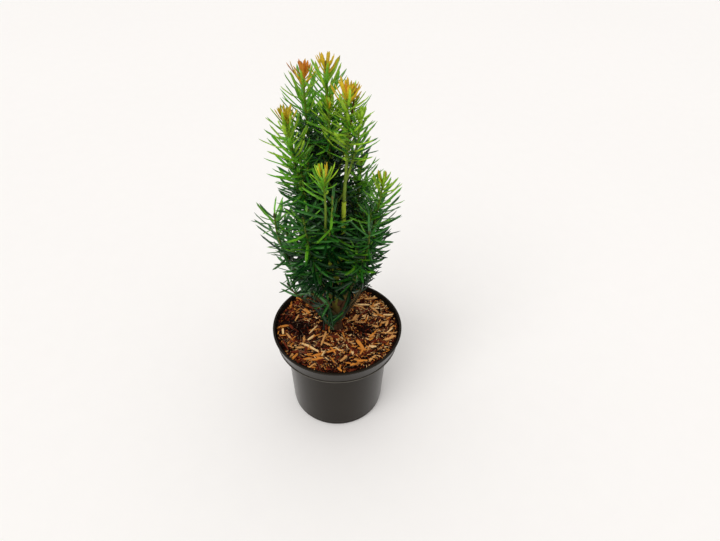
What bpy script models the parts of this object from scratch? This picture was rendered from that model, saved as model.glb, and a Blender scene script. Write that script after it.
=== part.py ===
"""A young upright yew in a round nursery pot, at its real size in metres.

The origin is the middle of the pot's underside, with +Z up and -Y to the front.
The pot holds growing medium under a layer of bark chips. One straight trunk
stands in it, steep boughs leave the trunk low down, and each bough carries a
mass of needles. Low shoots and a few in the middle grow straight from the trunk.
"""

import math
import random
from collections import namedtuple

import bmesh
import bpy
import numpy as np
from mathutils import Matrix, Vector, noise
from mathutils.bvhtree import BVHTree

# Pot
POT_HEIGHT = 0.106
RIM_RADIUS = 0.065
RIM_WIDTH = 0.0022
RIM_EDGE = 0.0006
LIP_DEPTH = 0.0018
COLLAR_TOP_RADIUS = 0.0644
COLLAR_FOOT_RADIUS = 0.0608
COLLAR_DEPTH = 0.0180
BODY_TOP_RADIUS = 0.0522
BODY_FOOT_RADIUS = 0.0484
FOOT_BEVEL = 0.0022
WALL = 0.0015
POT_STEPS = 40
FILL_STEPS = 20
DRAIN_COUNT = 8
DRAIN_RADIUS = 0.0045
DRAIN_RING = 0.0365
DRAIN_SIDES = 12

# Growing medium and chips
GAP = 0.0003
MEDIUM_TOP = 0.0935
CHIPS_TOP = 0.1012
CHIPS_UNEVEN = 0.0012
CHIPS_LUMPS_PER_M = 90
CHIPS_RINGS = 4
CHIP_COUNT = 34
CHIP_LENGTHS = (0.008, 0.018)
CHIP_WIDTHS = (0.003, 0.0055)
CHIP_THICKNESS = 0.0024
CHIP_RISE = 0.0002
CHIP_PITCH = 0.12
CHIP_ROLL = 0.20

# Trunk
TRUNK_FOOT = Vector((0.0, 0.001, MEDIUM_TOP + GAP))
TRUNK_TOP = Vector((-0.0050, 0.0010, 0.262))
TRUNK_FOOT_RADIUS = 0.0046
TRUNK_TOP_RADIUS = 0.0021
FLARE = 0.0030
FLARE_HEIGHT = 0.0065
TRUNK_SIDES = 10
TRUNK_SHARES = (0.0, 0.012, 0.03, 0.06, 0.1, 0.2, 0.4, 0.6, 0.8, 1.0)

# Boughs and shoots
BOUGH_RADIUS = 0.0023
BOUGH_TIP_RADIUS = 0.0018
BOUGH_SIDES = 6
BOUGH_KNOTS = 8
STEM_RADIUS = 0.0018
STEM_TIP_RADIUS = 0.0009
STEM_SIDES = 3
STEM_KNOTS = 6
KNOT_SPACING = 1.3
SWAY = 0.0012
SWAY_WAVES = 1.5
BUD_DEPTH = 0.0085
TWIG_SHARE = 0.72
TWIG_SPREAD = 0.011
TWIG_BOW = 1.8
TWIG_RADIUS = 0.8 * STEM_RADIUS
TWIG_KNOTS = 4
TWIG_TURN = 75
TWIG_SCATTER = 8
TWIG_BARE = 0.008

# Needles
NEEDLE_LENGTH = 0.0280
NEEDLE_WIDTH = 0.0050
NEEDLE_THICKNESS = 0.0012
NEEDLE_WIDEST = -0.15
NEEDLE_PITCH = 0.0051
NEEDLE_ROOT = 0.0004
NEEDLE_CURVE = 0.05
NEEDLE_ROLL = 35
NEEDLE_SCATTER = 0.25
LENGTH_SCATTER = (0.90, 1.08)
LENGTH_LOSS = 0.38
LEAN_LOW = 76
LEAN_LOSS = 38
LEAN_POWER = 2.0
LEAN_SCATTER = 7
BUD_NEEDLES = 4
BUD_LEANS = (22, 34)
BUD_LENGTHS = (0.42, 0.54)
BUD_BELOW_TIP = 0.003
STEM_END = 0.001
GOLDEN_ANGLE = math.radians(137.5)
SEED = 11

# Each shoot leaves the trunk at a height and curves out along its heading, in
# degrees from +X, to its reach from the pot's axis. It is a bare bough up to the
# height bare, and a mass of needles from there to its top. A shoot with no bare
# height is a mass all the way. A large bow takes it out sooner and then straight
# up. twigs is the number of its side twigs, and the first points to turn.
Shoot = namedtuple("Shoot", "name leaves heading reach bare top bow twigs turn")
BOUGH_SHOOTS = (
    Shoot("right", 0.1150, -3, 0.0395, 0.152, 0.279, 1.5, 1, -30),
    Shoot("left_low", 0.1190, 179, 0.053, 0.150, 0.246, 2.0, 1, 150),
    Shoot("front_right", 0.1300, -42, 0.036, 0.152, 0.246, 1.7, 1, -70),
    Shoot("back_right", 0.1340, 50, 0.041, 0.154, 0.258, 1.6, 1, 20),
    Shoot("front_left", 0.1340, -138, 0.036, 0.156, 0.262, 1.7, 1, -160),
    Shoot("back", 0.1450, 88, 0.036, 0.160, 0.286, 1.8, 1, 130),
    Shoot("left", 0.1540, -168, 0.038, 0.200, 0.335, 1.3, 1, -140),
    Shoot("front", 0.1480, -110, 0.0300, 0.200, 0.300, 1.8, 1, -60),
    Shoot("back_left", 0.1630, 128, 0.034, 0.184, 0.300, 1.8, 1, 80),
    Shoot("right_back", 0.1600, 26, 0.0230, 0.190, 0.293, 2.0, 1, 60),
    Shoot("right_high", 0.1700, -62, 0.0165, 0.262, 0.362, 4.0, 2, -10),
    Shoot("left_high", 0.1740, 158, 0.0250, 0.215, 0.367, 1.8, 1, 100),
)
TRUNK_SHOOTS = (
    Shoot("low_left", 0.1040, -175, 0.046, None, 0.172, 1.2, 0, 0),
    Shoot("low_front_small", 0.1040, -114, 0.026, None, 0.140, 1.2, 0, 0),
    Shoot("low_front_right", 0.1040, -54, 0.032, None, 0.158, 1.3, 0, 0),
    Shoot("low_right_back", 0.1040, 7, 0.040, None, 0.160, 1.3, 0, 0),
    Shoot("low_back_right", 0.1040, 67, 0.040, None, 0.168, 1.3, 0, 0),
    Shoot("low_back_left", 0.1040, 126, 0.042, None, 0.170, 1.3, 0, 0),
    Shoot("low_right", 0.1105, -26, 0.032, None, 0.182, 1.4, 0, 0),
    Shoot("low_back", 0.1110, 97, 0.034, None, 0.176, 1.3, 0, 0),
    Shoot("low_front", 0.1160, -117, 0.020, None, 0.164, 1.4, 0, 0),
    Shoot("middle_left", 0.1950, -152, 0.018, None, 0.244, 1.5, 0, 0),
    Shoot("middle_right", 0.1840, -8, 0.019, None, 0.240, 1.5, 0, 0),
    Shoot("middle_back", 0.2000, 98, 0.019, None, 0.252, 1.5, 0, 0),
    Shoot("middle_front", 0.1960, -88, 0.016, None, 0.238, 1.5, 0, 0),
)
LEADER_TOP = Vector((-0.0068, 0.0020, 0.3745))


def clear_scene():
    for obj in list(bpy.data.objects):
        bpy.data.objects.remove(obj)


def new_collection(name):
    made = bpy.data.collections.new(name)
    bpy.context.scene.collection.children.link(made)
    return made


def finish(name, colour, roughness):
    """A plain material: colour is linear red, green and blue."""
    material = bpy.data.materials.new(name)
    material.use_nodes = True
    shader = material.node_tree.nodes["Principled BSDF"]
    shader.inputs["Base Color"].default_value = (*colour, 1.0)
    shader.inputs["Roughness"].default_value = roughness
    shader.inputs["Metallic"].default_value = 0.0
    material.diffuse_color = (*colour, 1.0)
    return material


def add_object(name, mesh, material, collection):
    obj = bpy.data.objects.new(name, mesh)
    mesh.materials.clear()
    mesh.materials.append(material)
    collection.objects.link(obj)
    return obj


def mesh_from(name, points, faces):
    mesh = bpy.data.meshes.new(name)
    mesh.from_pydata([tuple(point) for point in points], [], faces)
    mesh.update()
    return mesh


def turned(name, profile, steps, material, collection):
    """A profile of (radius, height) points turned about +Z, down its outer side."""
    mesh = bpy.data.meshes.new(name)
    edges = [(i, i + 1) for i in range(len(profile) - 1)]
    mesh.from_pydata([(radius, 0.0, height) for radius, height in profile], edges, [])
    obj = add_object(name, mesh, material, collection)
    screw = obj.modifiers.new("Turn", "SCREW")
    screw.steps = screw.render_steps = steps
    screw.use_merge_vertices = True
    screw.merge_threshold = 0.0001
    screw.use_smooth_shade = False
    return obj


def evaluated_mesh(obj):
    """A free copy of the object's mesh with its modifiers applied."""
    bpy.context.view_layer.update()
    graph = bpy.context.evaluated_depsgraph_get()
    return bpy.data.meshes.new_from_object(obj.evaluated_get(graph))


def tube(points, radii, sides):
    """A closed tapering tube with flat ends: a poly curve with a round section."""
    section = bpy.data.curves.new("section", "CURVE")
    ring = section.splines.new("POLY")
    ring.points.add(sides - 1)
    for i, point in enumerate(ring.points):
        turn = 2 * math.pi * i / sides
        point.co = (math.cos(turn), math.sin(turn), 0.0, 1.0)
    ring.use_cyclic_u = True
    section_obj = bpy.data.objects.new("section", section)

    curve = bpy.data.curves.new("tube", "CURVE")
    curve.dimensions = "3D"
    curve.bevel_mode = "OBJECT"
    curve.bevel_object = section_obj
    curve.use_fill_caps = True
    spline = curve.splines.new("POLY")
    spline.points.add(len(points) - 1)
    for knot, point, radius in zip(spline.points, points, radii):
        knot.co = (*point, 1.0)
        knot.radius = radius
    curve_obj = bpy.data.objects.new("tube", curve)
    for obj in (section_obj, curve_obj):
        bpy.context.scene.collection.objects.link(obj)
    mesh = evaluated_mesh(curve_obj)
    for obj in (curve_obj, section_obj):
        bpy.data.objects.remove(obj)

    bm = bmesh.new()
    bm.from_mesh(mesh)
    bmesh.ops.remove_doubles(bm, verts=bm.verts, dist=1e-6)
    bmesh.ops.recalc_face_normals(bm, faces=bm.faces)
    bm.to_mesh(mesh)
    bm.free()
    return mesh


def add_boolean(obj, operation, **operand):
    boolean = obj.modifiers.new(operation.title(), "BOOLEAN")
    boolean.operation = operation
    boolean.solver = "EXACT"
    if "collection" in operand:
        boolean.operand_type = "COLLECTION"
        boolean.collection = operand["collection"]
    else:
        boolean.object = operand["cutter"]


def hide_cutter(obj):
    obj.hide_render = True
    obj.display_type = "WIRE"
    return obj


def largest_body(mesh):
    """Drops loose scraps and sealed hollows: each is an island of faces of its own."""
    bm = bmesh.new()
    bm.from_mesh(mesh)
    seen = set()
    islands = []
    for start in bm.faces:
        if start in seen:
            continue
        island = []
        waiting = [start]
        seen.add(start)
        while waiting:
            face = waiting.pop()
            island.append(face)
            for edge in face.edges:
                for other in edge.link_faces:
                    if other not in seen and len(edge.link_faces) == 2:
                        seen.add(other)
                        waiting.append(other)
        islands.append(island)
    islands.sort(key=len)
    for island in islands[:-1]:
        bmesh.ops.delete(bm, geom=island, context="FACES")
    bm.to_mesh(mesh)
    bm.free()
    return mesh


def fused(name, mesh, pieces, material, collection):
    """One solid from a first mesh and further pieces, joined by a single union."""
    group = new_collection(name + "_pieces")
    for index, piece in enumerate(pieces):
        add_object(f"{name}_piece_{index}", piece, material, group)
    first = add_object(name + "_first", mesh, material, collection)
    add_boolean(first, "UNION", collection=group)
    joined = largest_body(evaluated_mesh(first))
    for obj in [first, *group.objects]:
        bpy.data.objects.remove(obj)
    bpy.data.collections.remove(group)
    return add_object(name, joined, material, collection)


# Pot, growing medium and chips


def body_radius(height, inset=0.0):
    """Outer radius of the pot's body at a height, less an inset."""
    share = height / (POT_HEIGHT - COLLAR_DEPTH)
    return BODY_FOOT_RADIUS + (BODY_TOP_RADIUS - BODY_FOOT_RADIUS) * share - inset


def collar_radius(height, inset=0.0):
    """Outer radius of the flared collar at a height, less an inset."""
    share = (POT_HEIGHT - height) / COLLAR_DEPTH
    return COLLAR_TOP_RADIUS + (COLLAR_FOOT_RADIUS - COLLAR_TOP_RADIUS) * share - inset


def make_pot(material, collection, cutters):
    step = POT_HEIGHT - COLLAR_DEPTH
    lip = POT_HEIGHT - LIP_DEPTH
    inner_rim = RIM_RADIUS - RIM_WIDTH
    edge = RIM_EDGE
    profile = [
        (0.0, WALL),
        (body_radius(WALL, WALL), WALL),
        (body_radius(step, WALL), step + WALL),
        (collar_radius(step, WALL), step + WALL),
        (inner_rim, lip),
        (inner_rim, POT_HEIGHT),
        (RIM_RADIUS - edge, POT_HEIGHT),
        (RIM_RADIUS, POT_HEIGHT - edge),
        (RIM_RADIUS, lip),
        (collar_radius(lip), lip - edge),
        (collar_radius(step + edge), step + edge),
        (collar_radius(step) - edge, step),
        (body_radius(step), step),
        (body_radius(FOOT_BEVEL), FOOT_BEVEL),
        (body_radius(0.0) - FOOT_BEVEL, 0.0),
        (0.0, 0.0),
    ]
    pot = turned("pot", profile, POT_STEPS, material, collection)
    for index in range(DRAIN_COUNT):
        turn = 2 * math.pi * (index + 0.5) / DRAIN_COUNT
        place = Matrix.Translation(
            (DRAIN_RING * math.cos(turn), DRAIN_RING * math.sin(turn), WALL / 2)
        )
        mesh = bpy.data.meshes.new("drain")
        bm = bmesh.new()
        bmesh.ops.create_cone(
            bm,
            cap_ends=True,
            segments=DRAIN_SIDES,
            radius1=DRAIN_RADIUS,
            radius2=DRAIN_RADIUS,
            depth=3 * WALL,
            matrix=place,
        )
        bm.to_mesh(mesh)
        bm.free()
        cutter = hide_cutter(add_object(f"drain_{index}", mesh, material, cutters))
        add_boolean(pot, "DIFFERENCE", cutter=cutter)
    return pot


def make_medium(material, collection):
    """The growing medium, which fills the pot's body and the foot of its collar."""
    step = POT_HEIGHT - COLLAR_DEPTH + WALL + GAP
    floor = WALL + GAP
    inset = WALL + GAP
    profile = [
        (0.0, MEDIUM_TOP),
        (collar_radius(step, inset), MEDIUM_TOP),
        (collar_radius(step, inset), step),
        (body_radius(step - WALL, inset), step),
        (body_radius(floor, inset), floor),
        (0.0, floor),
    ]
    return turned("growing_medium", profile, FILL_STEPS, material, collection)


def make_chips(material, collection, cutter):
    """A lumpy layer with flat chips sunk in it, and a hole round the trunk."""
    rng = random.Random(SEED)
    outer = collar_radius(CHIPS_TOP, WALL) - GAP
    hole = TRUNK_FOOT_RADIUS * 0.3
    low = MEDIUM_TOP + GAP
    low_outer = collar_radius(MEDIUM_TOP, WALL) - GAP
    step = (outer - hole) / CHIPS_RINGS
    profile = [(hole + step * ring, CHIPS_TOP) for ring in range(CHIPS_RINGS + 1)]
    profile += [(low_outer, low), (hole, low)]
    base = turned("chips_base", profile + profile[:1], FILL_STEPS, material, collection)
    mesh = evaluated_mesh(base)
    bpy.data.objects.remove(base)
    for vertex in mesh.vertices:
        if vertex.co.z > low + GAP:
            vertex.co.z += CHIPS_UNEVEN * noise.noise(vertex.co * CHIPS_LUMPS_PER_M)
    pieces = []
    for index in range(CHIP_COUNT):
        length = rng.uniform(*CHIP_LENGTHS)
        reach = math.sqrt(rng.uniform(0.04, 1.0)) * (outer - length / 2 - 0.002)
        turn = index * GOLDEN_ANGLE
        centre = (reach * math.cos(turn), reach * math.sin(turn), CHIPS_TOP + CHIP_RISE)
        place = (
            Matrix.Translation(centre)
            @ Matrix.Rotation(rng.uniform(0, math.pi), 4, "Z")
            @ Matrix.Rotation(rng.uniform(-CHIP_PITCH, CHIP_PITCH), 4, "Y")
            @ Matrix.Rotation(rng.uniform(-CHIP_ROLL, CHIP_ROLL), 4, "X")
            @ Matrix.Diagonal((length, rng.uniform(*CHIP_WIDTHS), CHIP_THICKNESS, 1.0))
        )
        chip = bpy.data.meshes.new("chip")
        bm = bmesh.new()
        bmesh.ops.create_cube(bm, size=1.0, matrix=place)
        bm.to_mesh(chip)
        bm.free()
        pieces.append(chip)
    chips = fused("bark_chips", mesh, pieces, material, collection)
    add_boolean(chips, "DIFFERENCE", cutter=cutter)
    return chips


# Trunk, boughs and stems


def trunk_point(height):
    share = (height - TRUNK_FOOT.z) / (TRUNK_TOP.z - TRUNK_FOOT.z)
    return TRUNK_FOOT.lerp(TRUNK_TOP, share)


def trunk_radius(height):
    rise = height - TRUNK_FOOT.z
    share = rise / (TRUNK_TOP.z - TRUNK_FOOT.z)
    taper = TRUNK_FOOT_RADIUS + (TRUNK_TOP_RADIUS - TRUNK_FOOT_RADIUS) * share
    return taper + FLARE * math.exp(-rise / FLARE_HEIGHT)


def trunk_mesh(grow=0.0):
    """The trunk, or its clearance where it is grown. The grown one runs past its ends."""
    length = TRUNK_TOP.z - TRUNK_FOOT.z
    heights = [TRUNK_FOOT.z + length * share for share in TRUNK_SHARES]
    radii = [trunk_radius(height) + grow for height in heights]
    points = [trunk_point(height) for height in heights]
    if grow:
        points = [points[0].lerp(points[-1], -TRUNK_SHARES[1]), *points]
        radii = [radii[0], *radii]
    return tube(points, radii, TRUNK_SIDES)


def shoot_point(shoot, share):
    """Height grows evenly with share, and distance from the trunk by the shoot's bow."""
    start = trunk_point(shoot.leaves)
    heading = math.radians(shoot.heading)
    out = Vector((math.cos(heading), math.sin(heading), 0.0))
    tip = out * shoot.reach
    outward = 1 - (1 - share) ** shoot.bow
    sway = SWAY * math.sin(2 * math.pi * SWAY_WAVES * share) * min(1.0, 4 * share)
    point = start.lerp(tip, outward) + sway * Vector((-out.y, out.x, 0.0))
    point.z = shoot.leaves + (shoot.top - BUD_DEPTH - shoot.leaves) * share
    return point


def shoot_share(shoot, height):
    return (height - shoot.leaves) / (shoot.top - BUD_DEPTH - shoot.leaves)


def path_between(shoot, first, last, count):
    steps = [(i / (count - 1)) ** KNOT_SPACING for i in range(count)]
    return [shoot_point(shoot, first + (last - first) * step) for step in steps]


def tapered(start, end, count):
    return [start + (end - start) * i / (count - 1) for i in range(count)]


def bough_mesh(shoot):
    points = path_between(shoot, 0.0, shoot_share(shoot, shoot.bare), BOUGH_KNOTS)
    radii = tapered(BOUGH_RADIUS, BOUGH_TIP_RADIUS, BOUGH_KNOTS)
    return tube(points, radii, BOUGH_SIDES)


def stem_points(shoot):
    """The middle line of a mass's stem, from its bough's tip or from the trunk."""
    if shoot.bare is None:
        return path_between(shoot, 0.0, 1.0, STEM_KNOTS)
    first = shoot_share(shoot, shoot.bare)
    points = path_between(shoot, first, 1.0, STEM_KNOTS)
    along = (points[1] - points[0]).normalized()
    points[0] = points[0] + along * GAP
    return points


def leader_points():
    """The leader carries the trunk on from its top, with the same lean."""
    top = LEADER_TOP - Vector((0, 0, BUD_DEPTH))
    start = TRUNK_TOP + Vector((0, 0, GAP))
    return [start.lerp(top, i / STEM_KNOTS) for i in range(STEM_KNOTS + 1)]


# Needles


def needle_template():
    """A flat spindle of eight faces along +Z, from its root at 0 to its tip at 1."""
    bm = bmesh.new()
    bmesh.ops.create_uvsphere(bm, u_segments=4, v_segments=2, radius=1.0)
    points = np.array([vertex.co[:] for vertex in bm.verts])
    faces = [[vertex.index for vertex in face.verts] for face in bm.faces]
    bm.free()
    ring = np.abs(points[:, 2]) < 0.5
    points[ring, 2] = NEEDLE_WIDEST
    points[:, 2] = (points[:, 2] + 1) / 2
    points[:, :2] /= 2
    return points, ring, faces


class Foliage:
    """Places twigs and needles clear of every other solid."""

    def __init__(self):
        self.template, self.ring, self.faces = needle_template()
        self.fixed = {}

    def keep(self, name, mesh):
        points = [vertex.co.copy() for vertex in mesh.vertices]
        faces = [tuple(polygon.vertices) for polygon in mesh.polygons]
        self.fixed[name] = (points, faces)

    def obstacles(self, name):
        """One search tree over all that the named mass has to stay clear of."""
        points = []
        faces = []
        for other, (its_points, its_faces) in self.fixed.items():
            if other == name:
                continue
            base = len(points)
            points += its_points
            faces += [tuple(base + index for index in face) for face in its_faces]
        return BVHTree.FromPolygons(points, faces)

    def needle_points(self, root, along, side, length, grow=0.0):
        """The template in its place, bent upwards, and grown where it is tested."""
        up = np.cross(side, along)
        scaled = self.template * (NEEDLE_WIDTH + 2 * grow, NEEDLE_THICKNESS + 2 * grow, 1)
        heights = scaled[:, 2] * (length + grow)
        bend = np.where(self.ring, -NEEDLE_CURVE * length, 0.0)
        return (
            root
            + np.outer(scaled[:, 0], side)
            + np.outer(scaled[:, 1] + bend, up)
            + np.outer(heights, along)
        )

    def needle(self, tree, root, along, side, length):
        """A needle's mesh, or None where it would touch another solid."""
        tested = self.needle_points(root, along, side, length, GAP)
        trial = BVHTree.FromPolygons([Vector(p) for p in tested], self.faces)
        if tree.overlap(trial):
            return None
        points = self.needle_points(root, along, side, length)
        return mesh_from("needle", points, self.faces)

    def along_stem(self, tree, points, rng, first=0.0):
        """Needles in a spiral round a stem, flatter below and steeper to its tip."""
        ends = np.array([point[:] for point in points])
        steps = np.linalg.norm(np.diff(ends, axis=0), axis=1)
        total = steps.sum()
        places = np.concatenate([[0.0], np.cumsum(steps)])
        found = []
        turn = rng.uniform(0, 2 * math.pi)
        place = first + NEEDLE_PITCH * rng.uniform(0.3, 0.9)
        while place < total - STEM_END:
            share = place / total
            length = NEEDLE_LENGTH * (1.0 - LENGTH_LOSS * share**3)
            length *= rng.uniform(*LENGTH_SCATTER)
            lean = LEAN_LOW - LEAN_LOSS * share**LEAN_POWER
            lean += rng.uniform(-LEAN_SCATTER, LEAN_SCATTER)
            found.append((place, turn, math.radians(lean), length))
            turn += GOLDEN_ANGLE + rng.uniform(-NEEDLE_SCATTER, NEEDLE_SCATTER)
            place += NEEDLE_PITCH * rng.uniform(0.85, 1.15)
        for index in range(BUD_NEEDLES):
            lean = math.radians(rng.uniform(*BUD_LEANS))
            length = NEEDLE_LENGTH * rng.uniform(*BUD_LENGTHS)
            around = turn + 2 * math.pi * index / BUD_NEEDLES
            found.append((total - BUD_BELOW_TIP, around, lean, length))
        meshes = []
        for place, turn, lean, length in found:
            step = min(np.searchsorted(places, place, side="right"), len(steps)) - 1
            axis = (ends[step + 1] - ends[step]) / steps[step]
            centre = ends[step] + axis * (place - places[step])
            across = np.cross(axis, (0.0, 1.0, 0.0))
            across /= np.linalg.norm(across)
            other = np.cross(axis, across)
            outward = math.cos(turn) * across + math.sin(turn) * other
            direction = math.sin(lean) * outward + math.cos(lean) * axis
            side = np.cross(direction, axis)
            side /= np.linalg.norm(side)
            roll = math.radians(rng.uniform(-NEEDLE_ROLL, NEEDLE_ROLL))
            side = math.cos(roll) * side + math.sin(roll) * np.cross(side, direction)
            root = centre - NEEDLE_ROOT * outward
            made = self.needle(tree, root, direction, side, length)
            if made:
                meshes.append(made)
        return meshes

    def twig_points(self, points, shoot, rng, index):
        """A side twig leaves its stem at a third or two thirds and turns upwards."""
        start = points[1 + 2 * index]
        scatter = rng.uniform(-TWIG_SCATTER, TWIG_SCATTER)
        heading = math.radians(shoot.turn + TWIG_TURN * index + scatter)
        out = Vector((math.cos(heading), math.sin(heading), 0.0))
        length = (points[-1] - start).length * TWIG_SHARE
        line = []
        for knot in range(TWIG_KNOTS):
            share = knot / (TWIG_KNOTS - 1)
            place = start + out * TWIG_SPREAD * (1 - (1 - share) ** TWIG_BOW)
            line.append(place + Vector((0, 0, length * share)))
        return line

    def mass(self, name, points, shoot, material, collection, index):
        rng = random.Random(SEED * 100 + index)
        tree = self.obstacles(name)
        stem = tube(points, tapered(STEM_RADIUS, STEM_TIP_RADIUS, len(points)), STEM_SIDES)
        pieces = self.along_stem(tree, points, rng)
        for twig in range(shoot.twigs if shoot else 0):
            line = self.twig_points(points, shoot, rng, twig)
            radii = tapered(TWIG_RADIUS, STEM_TIP_RADIUS, TWIG_KNOTS)
            limb = tube(line, radii, STEM_SIDES)
            trial = BVHTree.FromPolygons(
                [vertex.co for vertex in limb.vertices],
                [tuple(polygon.vertices) for polygon in limb.polygons],
            )
            if tree.overlap(trial):
                continue
            pieces.append(limb)
            pieces += self.along_stem(tree, line, rng, TWIG_BARE)
        made = fused(name, stem, pieces, material, collection)
        self.keep(name, made.data)
        return made


def main():
    clear_scene()
    part = new_collection("english_yew")
    cutters = new_collection("cutters")
    plastic = finish("pot_plastic", (0.016, 0.016, 0.016), 0.38)
    earth = finish("growing_medium", (0.030, 0.018, 0.011), 0.95)
    chip = finish("bark_chips", (0.250, 0.115, 0.045), 0.85)
    bark = finish("bark", (0.120, 0.095, 0.030), 0.75)
    leaf = finish("needles", (0.030, 0.110, 0.025), 0.45)

    clearance = add_object("trunk_clearance", trunk_mesh(GAP * 1.2), bark, cutters)
    hide_cutter(clearance)
    make_pot(plastic, part, cutters)
    make_medium(earth, part)
    chips = make_chips(chip, part, clearance)
    trunk = add_object("trunk", trunk_mesh(), bark, part)

    foliage = Foliage()
    foliage.keep("trunk", trunk.data)
    foliage.keep("bark_chips", evaluated_mesh(chips))
    for shoot in BOUGH_SHOOTS:
        bough = add_object("bough_" + shoot.name, bough_mesh(shoot), bark, part)
        add_boolean(bough, "DIFFERENCE", cutter=clearance)
        foliage.keep(bough.name, evaluated_mesh(bough))

    stems = {"needles_leader": (leader_points(), None)}
    for shoot in BOUGH_SHOOTS + TRUNK_SHOOTS:
        stems["needles_" + shoot.name] = (stem_points(shoot), shoot)
    for name, (points, _) in stems.items():
        radii = tapered(STEM_RADIUS, STEM_TIP_RADIUS, len(points))
        foliage.keep(name, tube(points, radii, STEM_SIDES))
    for index, (name, (points, shoot)) in enumerate(stems.items()):
        mass = foliage.mass(name, points, shoot, leaf, part, index)
        if shoot and shoot.bare is None:
            add_boolean(mass, "DIFFERENCE", cutter=clearance)


main()
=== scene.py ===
"""Looks of a young upright yew in a round nursery pot, dressed round its solids.

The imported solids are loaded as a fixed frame, in metres, with +Z up and -Y to the
front. The pot, chips, limbs and foliage get finer pieces in the same places. The
foliage grows by the rule of the solids and is carried on to finer twigs.
"""

import math
from collections import namedtuple

import bpy
import numpy as np
from bpy.props import FloatProperty, FloatVectorProperty, IntProperty, PointerProperty
from mathutils import Matrix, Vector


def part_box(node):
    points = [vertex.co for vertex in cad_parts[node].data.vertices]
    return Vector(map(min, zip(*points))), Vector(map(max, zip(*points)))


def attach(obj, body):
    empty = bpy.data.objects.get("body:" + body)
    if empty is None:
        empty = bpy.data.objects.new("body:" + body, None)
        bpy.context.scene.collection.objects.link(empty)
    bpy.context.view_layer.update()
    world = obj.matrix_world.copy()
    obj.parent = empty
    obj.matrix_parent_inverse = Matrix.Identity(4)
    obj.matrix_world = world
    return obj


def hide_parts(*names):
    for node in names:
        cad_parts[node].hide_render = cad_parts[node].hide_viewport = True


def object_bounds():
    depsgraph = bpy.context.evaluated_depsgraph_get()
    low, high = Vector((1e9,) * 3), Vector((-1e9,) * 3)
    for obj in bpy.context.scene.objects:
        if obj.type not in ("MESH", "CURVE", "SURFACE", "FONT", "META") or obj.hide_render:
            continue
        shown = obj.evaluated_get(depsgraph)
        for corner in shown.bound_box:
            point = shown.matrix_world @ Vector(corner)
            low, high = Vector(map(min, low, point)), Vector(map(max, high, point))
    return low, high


bl_info = {
    "name": "Potted young yew",
    "version": (1, 0, 0),
    "blender": (4, 5, 0),
    "location": "3D View > Sidebar > Yew",
    "description": "Dresses the packed solids of a potted young yew",
    "category": "Object",
}

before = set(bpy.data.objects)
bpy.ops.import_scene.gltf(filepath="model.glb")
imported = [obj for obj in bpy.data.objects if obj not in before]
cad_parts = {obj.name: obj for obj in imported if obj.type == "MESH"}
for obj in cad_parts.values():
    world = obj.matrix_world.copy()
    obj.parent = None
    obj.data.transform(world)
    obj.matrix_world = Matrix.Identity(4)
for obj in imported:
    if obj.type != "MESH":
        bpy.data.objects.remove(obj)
CAD_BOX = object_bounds()
POT_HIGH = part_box("pot")[1]
CHIPS_LOW, CHIPS_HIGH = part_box("bark_chips")
SEED = 11

# Pot, as radii and heights of the solid
COLLAR_TOP_RADIUS = 0.0644
COLLAR_FOOT_RADIUS = 0.0608
COLLAR_DEPTH = 0.0180
BODY_TOP_RADIUS = 0.0522
BODY_FOOT_RADIUS = 0.0484
FOOT_BEVEL = 0.0022
LIP_DEPTH = 0.0018
LIP_STEP = 0.0004
# Small turns of the profile, as (distance out, height): at the collar's foot, counted
# from the step below it, and at the pot's foot, counted from the ground
COLLAR_TURNS = ((0.0003, 0.0024), (0.0003, 0.0016), (0.0002, 0.0008), (-0.0003, 0.0))
FOOT_TURNS = ((0.0003, 0.0062), (-0.0003, 0.0056), (-0.0003, FOOT_BEVEL))
# How far from each corner of the profile its rounding starts, in tenths of a millimetre
CORNER_CUTS = np.array((12, 14, 12, 16, 5, 7, 7, 5, 3, 2, 2, 2, 5, 7, 2, 2, 9))
TURN_STEPS = 144
SHARP_DEGREES = 38
DRAIN_COUNT = 8
DRAIN_RADIUS = 0.0045
DRAIN_RING = 0.0365
DRAIN_DEPTH = 0.0040
DRAIN_SIDES = 24
# The bead on the collar's foot: its height above the step, how far out it lies, its half
# width and the sides of its section
BEAD_RISE = 0.0014
BEAD_OUT = 0.0004
BEAD_HALF = 0.00045
BEAD_SIDES = 8

# Mulch: the height of its bed, how far that narrows to its foot, how far it rises at
# the wall and in its hills, and the hills' number and finest pitch
BED_LEVEL = CHIPS_HIGH.z - 0.0040
BED_TAPER = 0.0015
BED_BANK = 0.0014
BED_HILLS = 0.0016
BED_WAVES = (12, 700.0)
BED_RINGS = 60
BED_STEPS = 160
TRUNK_CLEAR = 0.0040
# Chips: their lengths, as shares of the longest, over their sizes from 0 to 1, and their
# colours, with the draws at which one colour gives way to the next. The light kinds lie
# higher and are shorter below the first of the long sizes. Draws start a little darker,
# are lighter in patches, darker over the hollows and lighter above the second long size
CHIP_SIZES = (0.0, 0.45, 0.80, 0.96, 1.0)
CHIP_LENGTHS = (0.10, 0.16, 0.24, 0.36, 0.74)
CHIP_KINDS = ("straw", "tan", "orange", "russet", "umber")
KIND_EDGES = (0.085, 0.155, 0.265, 0.60)
LIGHT_KINDS = 3
LIGHT_RISE = 0.0004
LIGHT_SHORTER = 0.85
PICK_START = 0.12
PATCH_SHIFT = 0.20
HOLLOW_SHIFT = 0.55
LONG_SIZES = (0.9, 0.985)
WALL_GAP = 0.0004
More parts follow.
